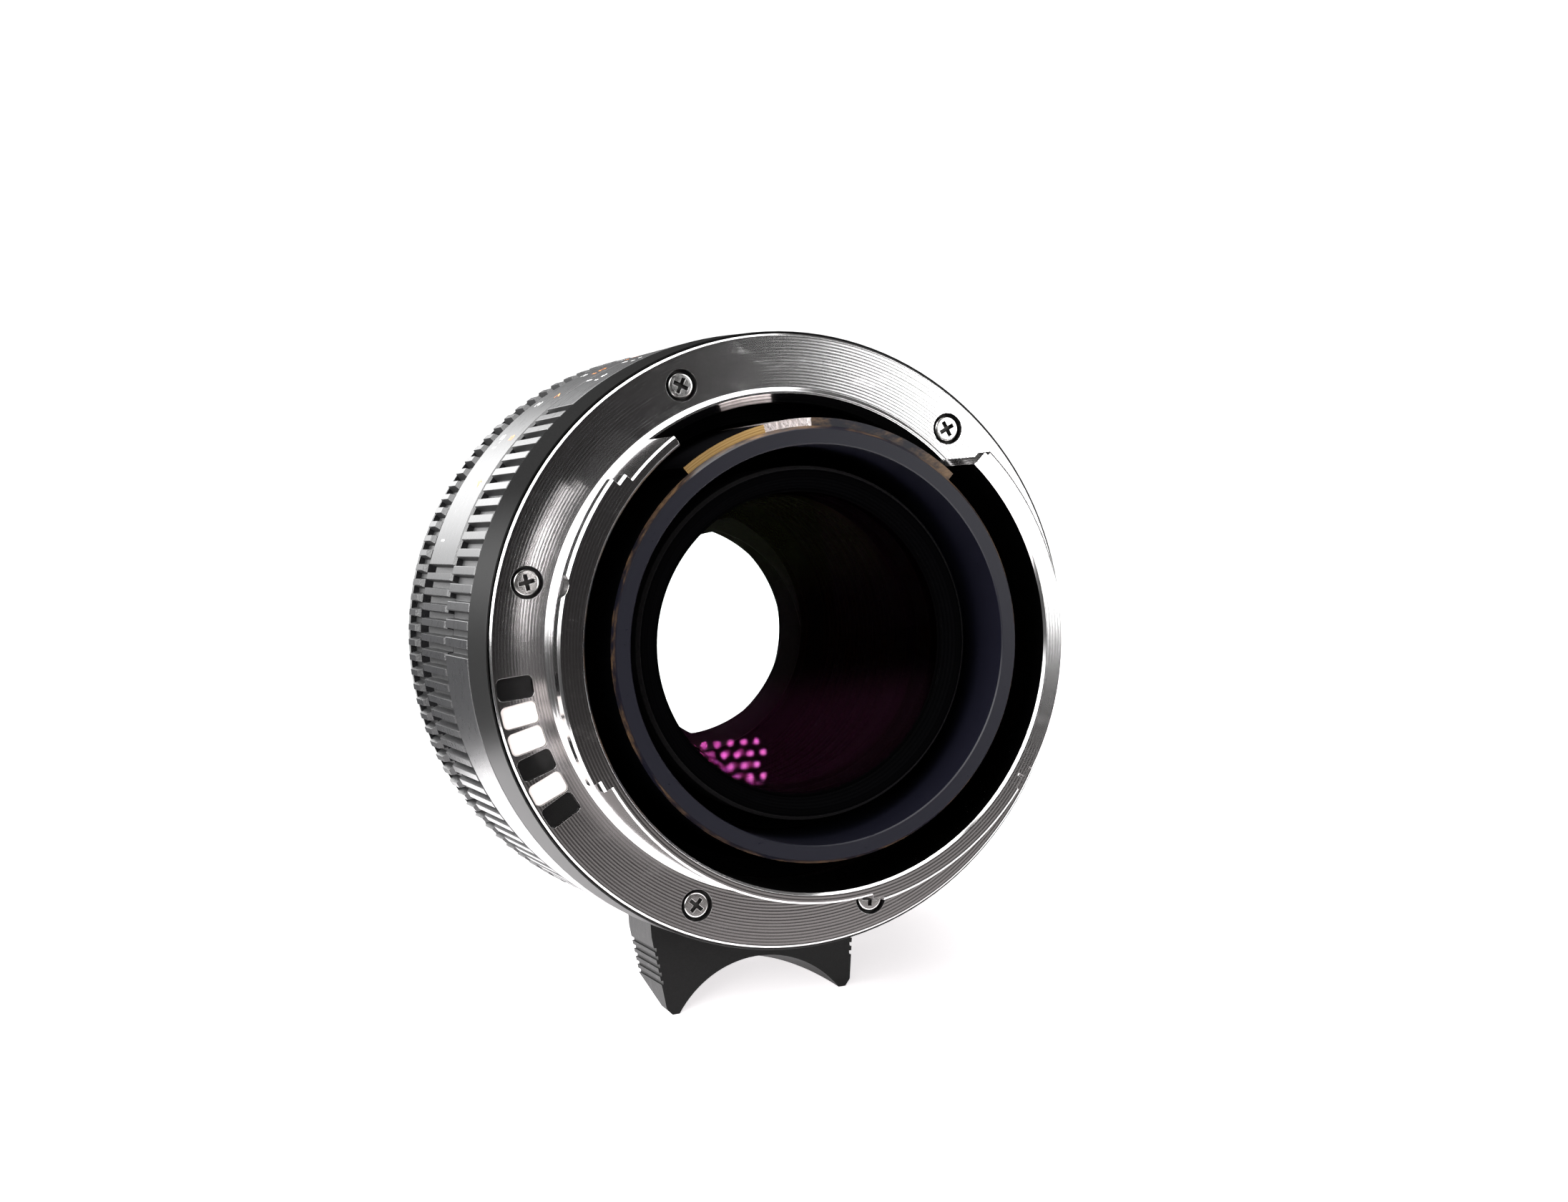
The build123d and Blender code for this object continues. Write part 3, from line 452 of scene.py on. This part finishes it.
def bare_brass():
    """Lapped brass of the helicoids."""
    material, tree, shader = new_material("bare_brass", tuple(colours().brass), 1.0, 0.28)
    lathe = effect(tree, "lathe_rings", Pitch=0.0002, Depth=0.2, Wander=0.8)
    tree.links.new(lathe.outputs["Normal"], shader.inputs["Normal"])
    tinted(shader, lathe.outputs["Mask"], (0.42, 0.25, 0.09), (0.66, 0.44, 0.18))
    return material


def coated_glass(name, tint):
    """Optical glass whose coating colours what it reflects."""
    material, tree, shader = new_material(name, (1.0, 1.0, 1.0), 0.0, 0.0, IOR=1.45)
    shader.inputs["Transmission Weight"].default_value = 1.0
    shader.inputs["Specular Tint"].default_value = (*tint, 1.0)
    film = node(tree, "ShaderNodeTexNoise", Scale=60.0, Detail=2.0)
    place = node(tree, "ShaderNodeTexCoord")
    tree.links.new(place.outputs["Object"], film.inputs["Vector"])
    tinted(shader, film.outputs["Fac"], (0.97, 0.985, 0.98), (1.0, 1.0, 1.0))
    return material


def blade_black():
    """Matt blackened spring steel."""
    material, tree, shader = new_material("blade_black", (0.02, 0.02, 0.022), 0.3, 0.5)
    grain = effect(tree, "fine_grain", Scale=3000.0, Depth=0.2)
    tree.links.new(grain.outputs["Normal"], shader.inputs["Normal"])
    tinted(shader, grain.outputs["Mask"], (0.012, 0.012, 0.013), (0.03, 0.03, 0.033))
    return material


def dark_recess():
    """Painted shade: dark metal laid on the walls and floors of recesses, where shade falls."""
    material, tree, shader = new_material("dark_recess", grey(0.03), 0.6, 0.5)
    grain = effect(tree, "fine_grain", Scale=3000.0, Depth=0.3)
    tree.links.new(grain.outputs["Normal"], shader.inputs["Normal"])
    tinted(shader, grain.outputs["Mask"], grey(0.012), (0.06, 0.058, 0.055))
    return material


def enamel(name, colour, roughness=0.3):
    """Enamel pressed into an engraving or a recess."""
    material, tree, shader = new_material(name, colour, 0.0, roughness)
    grain = effect(tree, "fine_grain", Scale=1500.0, Depth=0.15)
    tree.links.new(grain.outputs["Normal"], shader.inputs["Normal"])
    darker = tuple(0.88 * c for c in colour)
    lighter = tuple(min(1.0, 1.08 * c) for c in colour)
    tinted(shader, grain.outputs["Mask"], darker, lighter)
    return material


FINISHES = {
    "turned_chrome": turned_chrome, "polished_steel": polished_steel, "satin_black": satin_black,
    "collar_black": collar_black, "knurl_black": knurl_black, "tab_black": tab_black, "matt_black": matt_black,
    "cell_grey": cell_grey, "blackened_cam": blackened_cam, "cut_ramp": cut_ramp, "bare_brass": bare_brass,
    "blade_black": blade_black, "dark_recess": dark_recess,
    "rear_glass": lambda: coated_glass("rear_glass", (0.26, 0.03, 0.17)),
    "inner_glass": lambda: coated_glass("inner_glass", (0.07, 0.12, 0.02)),
    "front_glass": lambda: coated_glass("front_glass", (0.16, 0.10, 0.30)),
    "white_enamel": lambda: enamel("white_enamel", (0.86, 0.80, 0.77)),
    "black_enamel": lambda: enamel("black_enamel", grey(0.006), 0.16),
    "red_bead": lambda: enamel("red_bead", (0.55, 0.015, 0.012), 0.12),
    "white_paint": lambda: enamel("white_paint", (0.85, 0.85, 0.83), 0.5),
    "orange_paint": lambda: enamel("orange_paint", tuple(colours().feet), 0.5),
}


def finish_of(name):
    """One material by name, made the first time it is asked for."""
    return bpy.data.materials.get(name + "_finish") or FINISHES[name]()


# ------------------------------------------------------------------ mesh helpers
def add_piece(name, bm, finish, nodes, body=None, edge=None, angle=32.0):
    """Put a bmesh in the scene as a finished piece that stands for CAD nodes and rides on their body."""
    mesh = bpy.data.meshes.new(name)
    for face in bm.faces:
        face.smooth = True
    for line in bm.edges:
        line.smooth = len(line.link_faces) == 2 and line.calc_face_angle(0.0) < math.radians(angle)
    bm.to_mesh(mesh)
    bm.free()
    piece = bpy.data.objects.new(name, mesh)
    bpy.context.collection.objects.link(piece)
    piece.data.materials.append(finish_of(finish))
    if edge:
        soft = piece.modifiers.new("soft_edges", "BEVEL")
        soft.width = edge
        soft.segments = 2
        soft.limit_method = "ANGLE"
        soft.angle_limit = math.radians(angle)
        soft.harden_normals = True
    if nodes:
        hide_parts(*nodes)
    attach(piece, body or BODY_OF[nodes[0]])
    return piece


def spun(profile, closed=True, steps=None):
    """Full spin of an outline of (radius, y) in millimetres round the optical axis."""
    bm = bmesh.new()
    points = [bm.verts.new((r * MM, y * MM, 0.0)) for r, y in profile]
    lines = [bm.edges.new(pair) for pair in zip(points, points[1:])]
    if closed:
        lines.append(bm.edges.new((points[-1], points[0])))
    bmesh.ops.spin(bm, geom=points + lines, cent=(0, 0, 0), axis=(0, 1, 0), dvec=(0, 0, 0),
                   angle=math.tau, steps=steps or sizes().turn_steps, use_merge=True, use_duplicate=False)
    bmesh.ops.remove_doubles(bm, verts=bm.verts[:], dist=1e-7)
    bmesh.ops.recalc_face_normals(bm, faces=bm.faces[:])
    return bm


def cad_copy(*names):
    """Merged copy of CAD nodes' meshes, with flat areas joined into whole faces."""
    bm = bmesh.new()
    for name in names:
        bm.from_mesh(NODES[name].data)
    bmesh.ops.remove_doubles(bm, verts=bm.verts[:], dist=1e-7)
    bmesh.ops.dissolve_limit(bm, angle_limit=math.radians(0.6), use_dissolve_boundaries=False,
                             verts=bm.verts[:], edges=bm.edges[:], delimit={"NORMAL"})
    return bm


def bisected(bm, angles):
    """Cut a bmesh by half planes through the axis, so that a patch can have its own finish."""
    for angle in angles:
        across = Vector((-math.sin(math.radians(angle)), 0.0, math.cos(math.radians(angle))))
        bmesh.ops.bisect_plane(bm, geom=bm.verts[:] + bm.edges[:] + bm.faces[:], dist=1e-7,
                               plane_co=(0, 0, 0), plane_no=across)


def place_of(face):
    """Radius (mm), angle (degrees) and station (mm) of a face's middle."""
    middle = face.calc_center_median() / MM
    return math.hypot(middle.x, middle.z), math.degrees(math.atan2(middle.z, middle.x)), middle.y


def broad_bevel(bm, r, y, width):
    """Bevel the round edge at radius r and station y wider than the rest."""
    lines = [line for line in bm.edges if all(
        abs(math.hypot(v.co.x, v.co.z) / MM - r) < 0.03 and abs(v.co.y / MM - y) < 0.03 for v in line.verts)]
    if lines:
        bmesh.ops.bevel(bm, geom=lines, offset=width * MM, offset_type="OFFSET", segments=1, affect="EDGES")


def finished_copy(name, finish, edge=None, zones=(), cuts=(), angle=32.0, broad=None):
    """Replace a CAD node by a softened copy; zones are (rule, finish) pairs, and the first that fits wins."""
    bm = cad_copy(name)
    bisected(bm, cuts)
    if broad:
        broad_bevel(bm, *broad)
    for face in bm.faces:
        where = place_of(face)
        for index, (rule, _) in enumerate(zones, start=1):
            if rule(face, *where):
                face.material_index = index
                break
    piece = add_piece(name + "_finished", bm, finish, [name], edge=edge or sizes().edge, angle=angle)
    for _, other in zones:
        piece.data.materials.append(finish_of(other))
    return piece


def keep_node(name, finish):
    """Give a CAD node that stays in view its finish."""
    NODES[name].data.materials.clear()
    NODES[name].data.materials.append(finish_of(finish))


def crown(clear_r, height, rim_y, towards):
    """Spherical face out to clear_r, as (radius, y) points; height is its rise at the axis."""
    ball = (clear_r ** 2 + height ** 2) / (2 * abs(height))
    side = towards * math.copysign(1.0, height)
    points = []
    for step in range(GLASS_STEPS + 1):
        r = clear_r * step / GLASS_STEPS
        rise = math.sqrt(ball ** 2 - r ** 2) - (ball - abs(height))
        points.append((r, rim_y + side * rise))
    return points


def arc_text(bm, text, ring_r, angle, y, height, taper=0.0):
    """Add one figure to a bmesh, wrapped round a ring, read with its foot towards the mount."""
    curve = bpy.data.curves.new("figure", "FONT")
    curve.body = text
    curve.size = height / MM
    curve.align_x, curve.align_y = "CENTER", "CENTER"
    curve.resolution_u = 3
    holder = bpy.data.objects.new("figure", curve)
    flat = bpy.data.meshes.new_from_object(holder)
    first = len(bm.verts)
    bm.from_mesh(flat)
    bm.verts.ensure_lookup_table()
    for vert in bm.verts[first:]:
        wrap_point(vert, ring_r, angle, y, taper)
    bpy.data.objects.remove(holder)
    bpy.data.curves.remove(curve)
    bpy.data.meshes.remove(flat)


def wrap_point(vert, ring_r, angle, y, taper=0.0):
    """Move a flat point (across, along) onto a ring, which narrows by taper for each mm along."""
    across, along = vert.co.x, vert.co.y
    turn = math.radians(angle) - across / ring_r
    r = (ring_r - taper * along + PAINT_LIFT) * MM
    vert.co = (r * math.cos(turn), (y + along) * MM, r * math.sin(turn))


def arc_line(bm, ring_r, angle, y0, y1, width, taper=0.0):
    """Add one straight mark to a bmesh, along the axis, wrapped round a ring."""
    made = bmesh.ops.create_grid(bm, x_segments=2, y_segments=2, size=0.5)
    for vert in made["verts"]:
        vert.co = (vert.co.x * width, vert.co.y * (y1 - y0), 0.0)
        wrap_point(vert, ring_r, angle, (y0 + y1) / 2, taper)


# ------------------------------------------------------------------ operators
class LensOperator:
    """What the lens's operators share."""
    bl_options = {"REGISTER", "UNDO"}

    def execute(self, context):
        self.make()
        return {"FINISHED"}


class LENS_OT_mount(LensOperator, bpy.types.Operator):
    """Bayonet, its screws, the code patches, the collar and the index bead"""
    bl_idname = "lens.mount"
    bl_label = "Mount"

    def make(self):
        # The counterbores' walls and floors get a dark finish as painted shade.
        finished_copy("bayonet_ring", "turned_chrome", edge=0.09 * MM, angle=28.0,
                      zones=[(self.in_counterbore, "dark_recess")], broad=THROAT_RIM)
        # The screws' cross recesses get a dark finish as painted shade.
        finished_copy("mount_screws", "polished_steel", edge=0.03 * MM,
                      zones=[(lambda face, r, angle, y: y > SCREW_SLOT_Y, "dark_recess")])
        finished_copy("code_inserts_white", "white_enamel", edge=0.06 * MM)
        finished_copy("code_inserts_black", "black_enamel", edge=0.06 * MM)
        finished_copy("rear_collar", "collar_black")
        finished_copy("index_bead", "red_bead", edge=0.01 * MM)

    @staticmethod
    def in_counterbore(face, r, angle, y):
        """Wall or floor of a screw's counterbore."""
        near = min(abs((angle - turn + 180) % 360 - 180) for turn in SCREW_DEG)
        beside = max(abs(r - SCREW_R), math.radians(near) * r)
        return y > 0.2 and face.normal.y < 0.5 and beside < COUNTERBORE_R


class LENS_OT_scale_ring(LensOperator, bpy.types.Operator):
    """Depth scale ring with its two ribbed patches, the barrel inside it and the guide keys"""
    bl_idname = "lens.scale_ring"
    bl_label = "Depth scale ring"

    def make(self):
        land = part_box("depth_scale_ring")[1].x / MM - RIB_LAND
        finished_copy("depth_scale_ring", "satin_black", edge=0.05 * MM,
                      zones=[(lambda face, r, angle, y: r < land and abs(face.normal.y) < FLAT_FACE,
                              "knurl_black")])
        finished_copy("main_barrel", "matt_black")
        keep_node("guide_keys", "polished_steel")


class LENS_OT_focus(LensOperator, bpy.types.Operator):
    """Focusing ring with its ribs, finger tab, tab screws and helicoid"""
    bl_idname = "lens.focus"
    bl_label = "Focusing ring"

    def make(self):
        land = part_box("focus_ring")[1].x / MM - RIB_LAND
        finished_copy("focus_ring", "satin_black", edge=0.05 * MM,
                      zones=[(lambda face, r, angle, y: FOCUS_BORE_R < r < land
                              and abs(face.normal.y) < FLAT_FACE, "knurl_black")])
        finished_copy("focus_tab", "tab_black", edge=0.12 * MM)
        finished_copy("tab_screws", "polished_steel", edge=0.03 * MM)
        # The helicoid's end faces get matt black as painted shade; the threads stay brass.
        finished_copy("focus_helicoid", "bare_brass", edge=0.03 * MM,
                      zones=[(lambda face, r, angle, y: abs(face.normal.y) > FLAT_FACE, "matt_black")])


class LENS_OT_cam(LensOperator, bpy.types.Operator):
    """Rangefinder cam, blackened, with its freshly cut ramp"""
    bl_idname = "lens.cam"
    bl_label = "Rangefinder cam"

    def make(self):
        low, high = RAMP_PATCH
        finished_copy("cam_ring", "blackened_cam", edge=0.06 * MM, cuts=RAMP_PATCH,
                      zones=[(lambda face, r, angle, y: r > LOBE_R and low < angle < high, "cut_ramp"),
                             (lambda face, r, angle, y: r > LOBE_R and face.normal.y < -0.9, "bare_brass"),
                             (lambda face, r, angle, y: r > LOBE_R - 0.1 or y > 2.0, "matt_black")])


class LENS_OT_head(LensOperator, bpy.types.Operator):
    """Sliding head: its helicoid, tube and rear cell with spacer and retaining ring"""
    bl_idname = "lens.head"
    bl_label = "Lens head"

    def make(self):
        # The brass head's bore and end faces get matt black: painted shade where the brass lies in shade.
        finished_copy("head_helicoid", "bare_brass", edge=0.03 * MM,
                      zones=[(lambda face, r, angle, y: r < HEAD_BORE_R or abs(face.normal.y) > FLAT_FACE,
                              "matt_black")])
        finished_copy("lens_tube", "matt_black", edge=0.03 * MM)
        finished_copy("rear_cell", "cell_grey", edge=0.05 * MM,
                      zones=[(lambda face, r, angle, y: r < CELL_BORE_R, "matt_black")])
        for name in ("rear_spacer", "rear_retaining_ring"):
            finished_copy(name, "matt_black", edge=0.03 * MM)


class LENS_OT_glass(LensOperator, bpy.types.Operator):
    """The four glass elements, spun with true spherical faces and blackened edges"""
    bl_idname = "lens.glass"
    bl_label = "Glass"

    def make(self):
        for name, finish, margin, rear, front in ELEMENTS:
            low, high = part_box(name)
            rim_r = high.x / MM
            clear_r = rim_r - margin
            y0 = low.y / MM + max(rear, 0.0)
            y1 = high.y / MM - max(front, 0.0)
            profile = crown(clear_r, rear, y0, -1) + [(rim_r, y0), (rim_r, y1)]
            profile += reversed(crown(clear_r, front, y1, 1))
            bm = spun(profile, closed=False, steps=GLASS_TURN)
            for face in bm.faces:
                face.material_index = int(place_of(face)[0] > clear_r)
            piece = add_piece(name + "_ground", bm, finish, [name])
            piece.data.materials.append(finish_of("matt_black"))


class LENS_OT_iris(LensOperator, bpy.types.Operator):
    """Iris blades, their housing, drive ring and click stop"""
    bl_idname = "lens.iris"
    bl_label = "Iris"

    def make(self):
        for name in NODES:
            if name.startswith("iris_blade"):
                keep_node(name, "blade_black")
        for name in ("iris_housing", "iris_drive_ring", "iris_cover"):
            finished_copy(name, "matt_black", edge=0.03 * MM)
        keep_node("click_ball", "polished_steel")
        keep_node("click_spring", "polished_steel")
        keep_node("drive_screw", "polished_steel")


class LENS_OT_aperture(LensOperator, bpy.types.Operator):
    """Aperture ring with its knurl"""
    bl_idname = "lens.aperture"
    bl_label = "Aperture ring"

    def make(self):
        low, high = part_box("aperture_ring")
        land = high.x / MM - RIB_LAND
        finished_copy("aperture_ring", "satin_black", edge=0.05 * MM,
                      zones=[(lambda face, r, angle, y: APERTURE_BORE_R < r < land
                              and y < low.y / MM + APERTURE_KNURL and abs(face.normal.y) < FLAT_FACE,
                              "knurl_black")])


class LENS_OT_front(LensOperator, bpy.types.Operator):
    """Front cell, retaining ring and the filter ring with its thread"""
    bl_idname = "lens.front"
    bl_label = "Front"

    def make(self):
        finished_copy("front_cell", "matt_black", edge=0.04 * MM)
        for name in ("front_spacer", "front_retaining_ring"):
            finished_copy(name, "matt_black", edge=0.03 * MM)
        finished_copy("filter_ring", "satin_black", edge=0.06 * MM)


class LENS_OT_figures(LensOperator, bpy.types.Operator):
    """Engraved and filled figures and index marks on the three rings"""
    bl_idname = "lens.figures"
    bl_label = "Figures"

    def make(self):
        height = sizes().figure_height
        ring_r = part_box("focus_ring")[1].x / MM
        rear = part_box("focus_ring")[0].y / MM
        close_deg = next(j for j in frame["joints"] if j["name"] == "focus_turn")["range_deg"][1]
        for name, finish, along, unit, figures in DISTANCES:
            bm = bmesh.new()
            arc_text(bm, "∞", ring_r, INDEX_DEG, rear + along, height * 1.3)
            for figure in figures:
                turn = close_deg * CLOSEST_M / (figure * unit)
                arc_text(bm, f"{figure:g}", ring_r, INDEX_DEG + turn, rear + along, height)
            self.add(name, bm, finish, "focus_ring")
        scale_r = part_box("depth_scale_ring")[1].x / MM
        middle = (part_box("depth_scale_ring")[0].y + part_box("depth_scale_ring")[1].y) / (2 * MM)
        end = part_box("depth_scale_ring")[1].y / MM
        bm = bmesh.new()
        arc_line(bm, scale_r, INDEX_DEG, middle - 1.0, end - MARK_END, INDEX_WIDTH)
        for stop, spread in zip(STOPS[2:], DEPTH_SPREAD):
            for side in (-1, 1):
                angle = INDEX_DEG + side * spread
                arc_line(bm, scale_r, angle, end - MARK_END - MARK_LENGTH, end - MARK_END, MARK_WIDTH)
                arc_text(bm, stop, scale_r, angle, middle - 0.4, height * 0.85)
        self.add("depth_figures", bm, "white_paint", "depth_scale_ring")
        bm = bmesh.new()
        band_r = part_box("aperture_ring")[1].x / MM - BAND_DROP
        band_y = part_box("aperture_ring")[1].y / MM - BAND_BACK
        for place, stop in enumerate(STOPS):
            arc_text(bm, stop, band_r, INDEX_DEG + STOP_DEG * (1 - place), band_y, height, BAND_TAPER)
        self.add("aperture_figures", bm, "white_paint", "aperture_ring")

    @staticmethod
    def add(name, bm, finish, on):
        piece = add_piece(name, bm, finish, [], body=BODY_OF[on])


class LENS_OT_stage(LensOperator, bpy.types.Operator):
    """Pale floor, soft studio light, surroundings and camera"""
    bl_idname = "lens.stage"
    bl_label = "Stage"

    def make(self):
        self.floor()
        self.world()
        for name, place, radiance, width in SOFTBOXES:
            self.softbox(name, Vector(place) * MM, radiance, width * MM)
        metal = bpy.data.collections.new("metal_only")
        glass = bpy.data.collections.new("glass_only")
        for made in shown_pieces():
            (glass if made.name.endswith("_ground") else metal).objects.link(made)
        middle, width, level = RIGHT_PANEL
        bm = bmesh.new()
        bmesh.ops.create_grid(bm, x_segments=1, y_segments=1, size=0.5 * width * MM)
        self.lamp("right_panel", bm, middle, level, metal)
        middle, width, cell, level = HONEYCOMB
        self.lamp("honeycomb_lamp", self.honeycomb(width, cell), middle, level, glass)
        self.camera()
        bpy.context.scene.view_settings.view_transform = "Standard"

    @staticmethod
    def floor():
        """Patch of table that the tab's tip and the front rim rest on."""
        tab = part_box("focus_tab")[0]
        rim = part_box("filter_ring")
        rest = Vector((0.0, rim[1].y, -FRONT_RIM_R * MM))
        rise = math.atan2(rest.z - tab.z, rest.y - tab.y)
        bm = bmesh.new()
        bmesh.ops.create_grid(bm, x_segments=1, y_segments=1, size=0.5)
        bmesh.ops.scale(bm, verts=bm.verts[:], vec=(FLOOR_WIDTH * MM, FLOOR_LENGTH * MM, 1.0))
        bmesh.ops.translate(bm, verts=bm.verts[:], vec=(0.0, FLOOR_SHIFT * MM, 0.0))
        bmesh.ops.rotate(bm, verts=bm.verts[:], cent=(0, 0, 0), matrix=Matrix.Rotation(rise, 3, "X"))
        bmesh.ops.translate(bm, verts=bm.verts[:], vec=(0.0, tab.y, tab.z - FLOOR_GAP * MM))
        mesh = bpy.data.meshes.new("table_top")
        bm.to_mesh(mesh)
        bm.free()
        table = bpy.data.objects.new("table_top", mesh)
        bpy.context.collection.objects.link(table)
        material, tree, shader = new_material("table_white", (0.9, 0.88, 0.89), 0.0, 0.7)
        grain = effect(tree, "fine_grain", Scale=300.0, Depth=0.1)
        tree.links.new(grain.outputs["Normal"], shader.inputs["Normal"])
        tinted(shader, grain.outputs["Mask"], (0.88, 0.85, 0.87), (0.94, 0.93, 0.93))
        shader.inputs["Emission Color"].default_value = (1.0, 0.97, 0.98, 1.0)
        shader.inputs["Emission Strength"].default_value = FLOOR_GLOW
        table.data.materials.append(material)
        table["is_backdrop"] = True

    @staticmethod
    def world():
        """White surroundings, bright ahead, with a dark field behind the camera for the chrome."""
        world = bpy.data.worlds.new("studio")
        world.use_nodes = True
        bpy.context.scene.world = world
        tree = world.node_tree
        back = tree.nodes["Background"]
        place = node(tree, "ShaderNodeTexCoord")
        split = node(tree, "ShaderNodeSeparateXYZ")
        tree.links.new(place.outputs["Generated"], split.inputs[0])

        def step(axis, start, end, low=0.0, high=1.0):
            made = node(tree, "ShaderNodeMapRange", interpolation_type="SMOOTHSTEP")
            for label, value in (("From Min", start), ("From Max", end), ("To Min", low), ("To Max", high)):
                made.inputs[label].default_value = value
            tree.links.new(split.outputs[axis], made.inputs["Value"])
            return made.outputs["Result"]

        def mixed(factor, low, high):
            made = node(tree, "ShaderNodeMix", data_type="FLOAT")
            for label, value in (("Factor", factor), ("A", low), ("B", high)):
                if isinstance(value, float):
                    made.inputs[label].default_value = value
                else:
                    tree.links.new(value, made.inputs[label])
            return made.outputs["Result"]

        field = mixed(step("Z", *BELOW_STEP), DARK_LEVEL, GREY_LEVEL)
        behind = mixed(step("Y", *BEHIND_STEP), 0.0, 1.0)
        beside = step("X", *LEFT_STEP)
        both = node(tree, "ShaderNodeMath", operation="MULTIPLY")
        tree.links.new(behind, both.inputs[0])
        tree.links.new(beside, both.inputs[1])
        left = mixed(step("Z", *LOW_STEP), LOW_LEVEL, HIGH_LEVEL)
        side = mixed(step("X", *AHEAD_SIDE_STEP), left, SIDE_LEVEL)
        front = node(tree, "ShaderNodeMath", operation="MULTIPLY")
        tree.links.new(step("Y", *AHEAD_STEP), front.inputs[0])
        tree.links.new(step("X", *AHEAD_SIDE_STEP), front.inputs[1])
        low = node(tree, "ShaderNodeMath", operation="MULTIPLY")
        tree.links.new(front.outputs[0], low.inputs[0])
        tree.links.new(step("Z", *ABOVE_STEP), low.inputs[1])
        ahead = mixed(low.outputs[0], side, AHEAD_LEVEL)
        level = mixed(both.outputs[0], ahead, field)
        path = node(tree, "ShaderNodeLightPath")
        shown = mixed(path.outputs["Is Camera Ray"], level, SHOWN_LEVEL)
        tree.links.new(shown, back.inputs["Strength"])
        tint = node(tree, "ShaderNodeMix", data_type="RGBA")
        tint.inputs["A"].default_value = (1.0, 1.0, 1.0, 1.0)
        tint.inputs["B"].default_value = FIELD_TINT
        hidden = node(tree, "ShaderNodeMath", operation="SUBTRACT", use_clamp=True)
        tree.links.new(both.outputs[0], hidden.inputs[0])
        tree.links.new(path.outputs["Is Camera Ray"], hidden.inputs[1])
        tree.links.new(hidden.outputs[0], tint.inputs["Factor"])
        tree.links.new(tint.outputs["Result"], back.inputs["Color"])

    @staticmethod
    def softbox(name, place, radiance, width):
        """Square area light aimed at the middle of the lens."""
        light = bpy.data.lights.new(name, "AREA")
        light.size = width
        light.energy = radiance * math.pi * width * width
        holder = bpy.data.objects.new(name, light)
        holder.location = place
        holder.rotation_euler = (Vector((0, 0.015, 0)) - place).to_track_quat("-Z", "Y").to_euler()
        holder.visible_camera = False
        bpy.context.collection.objects.link(holder)

    @staticmethod
    def honeycomb(width, cell):
        """Hexagonal cells of a grid in front of a lamp, side by side in rows."""
        bm = bmesh.new()
        rows = int(width / cell)
        for row in range(rows):
            for column in range(rows):
                made = bmesh.ops.create_circle(bm, cap_ends=True, segments=6, radius=CELL_FILL * cell * MM)
                shift = 0.5 * (row % 2)
                bmesh.ops.translate(bm, verts=made["verts"], vec=(
                    (column + shift - rows / 2) * cell * MM, (row - rows / 2) * cell * ROW_PITCH * MM, 0.0))
        return bm

    @staticmethod
    def lamp(name, bm, middle, level, lit):
        """Glowing panel aimed at the lens, whose light only the pieces of one collection take."""
        towards = -Vector(middle)
        turn = towards.to_track_quat("Z", "Y").to_matrix()
        bmesh.ops.rotate(bm, verts=bm.verts[:], cent=(0, 0, 0), matrix=turn)
        bmesh.ops.translate(bm, verts=bm.verts[:], vec=Vector(middle) * MM)
        mesh = bpy.data.meshes.new(name)
        bm.to_mesh(mesh)
        bm.free()
        panel = bpy.data.objects.new(name, mesh)
        bpy.context.collection.objects.link(panel)
        material, _, shader = new_material(name, grey(0.0))
        shader.inputs["Emission Color"].default_value = (1.0, 1.0, 1.0, 1.0)
        shader.inputs["Emission Strength"].default_value = level
        panel.data.materials.append(material)
        panel.visible_camera = panel.visible_shadow = False
        panel.light_linking.receiver_collection = lit
        panel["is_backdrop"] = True

    @staticmethod
    def camera():
        """Camera behind the lens, a little to the left and above."""
        camera = bpy.data.cameras.new("camera")
        camera.lens = CAMERA_LENS
        camera.sensor_width = 36.0
        camera.clip_start = 0.01
        holder = bpy.data.objects.new("camera", camera)
        bpy.context.collection.objects.link(holder)
        place, aim, up = (Vector(v) for v in (CAMERA_PLACE, CAMERA_AIM, CAMERA_UP))
        back = (place - aim).normalized()
        right = up.cross(back).normalized()
        turn = Matrix((right, back.cross(right), back)).transposed()
        holder.matrix_world = Matrix.Translation(place * MM) @ turn.to_4x4()
        bpy.context.scene.camera = holder


class LENS_PT_panel(bpy.types.Panel):
    """Sidebar panel that lists the lens's sizes, colours and operators"""
    bl_label = "Compact Prime Lens"
    bl_idname = "LENS_PT_panel"
    bl_space_type = "VIEW_3D"
    bl_region_type = "UI"
    bl_category = "Lens"

    def draw(self, context):
        for group in (context.scene.lens_sizes, context.scene.lens_colours):
            for name in group.__annotations__:
                self.layout.prop(group, name)
        for operator in OPERATORS:
            self.layout.operator(operator.bl_idname)


OPERATORS = (LENS_OT_mount, LENS_OT_scale_ring, LENS_OT_focus, LENS_OT_cam, LENS_OT_head, LENS_OT_glass,
             LENS_OT_iris, LENS_OT_aperture, LENS_OT_front, LENS_OT_figures, LENS_OT_stage)
CLASSES = (LensSizes, LensColours) + OPERATORS + (LENS_PT_panel,)


def register():
    for made in CLASSES:
        bpy.utils.register_class(made)
    bpy.types.Scene.lens_sizes = bpy.props.PointerProperty(type=LensSizes)
    bpy.types.Scene.lens_colours = bpy.props.PointerProperty(type=LensColours)


def unregister():
    del bpy.types.Scene.lens_colours
    del bpy.types.Scene.lens_sizes
    for made in reversed(CLASSES):
        bpy.utils.unregister_class(made)


def main():
    register()
    for operator in OPERATORS:
        group, name = operator.bl_idname.split(".")
        getattr(getattr(bpy.ops, group), name)()


if __name__ == "__main__":
    main()
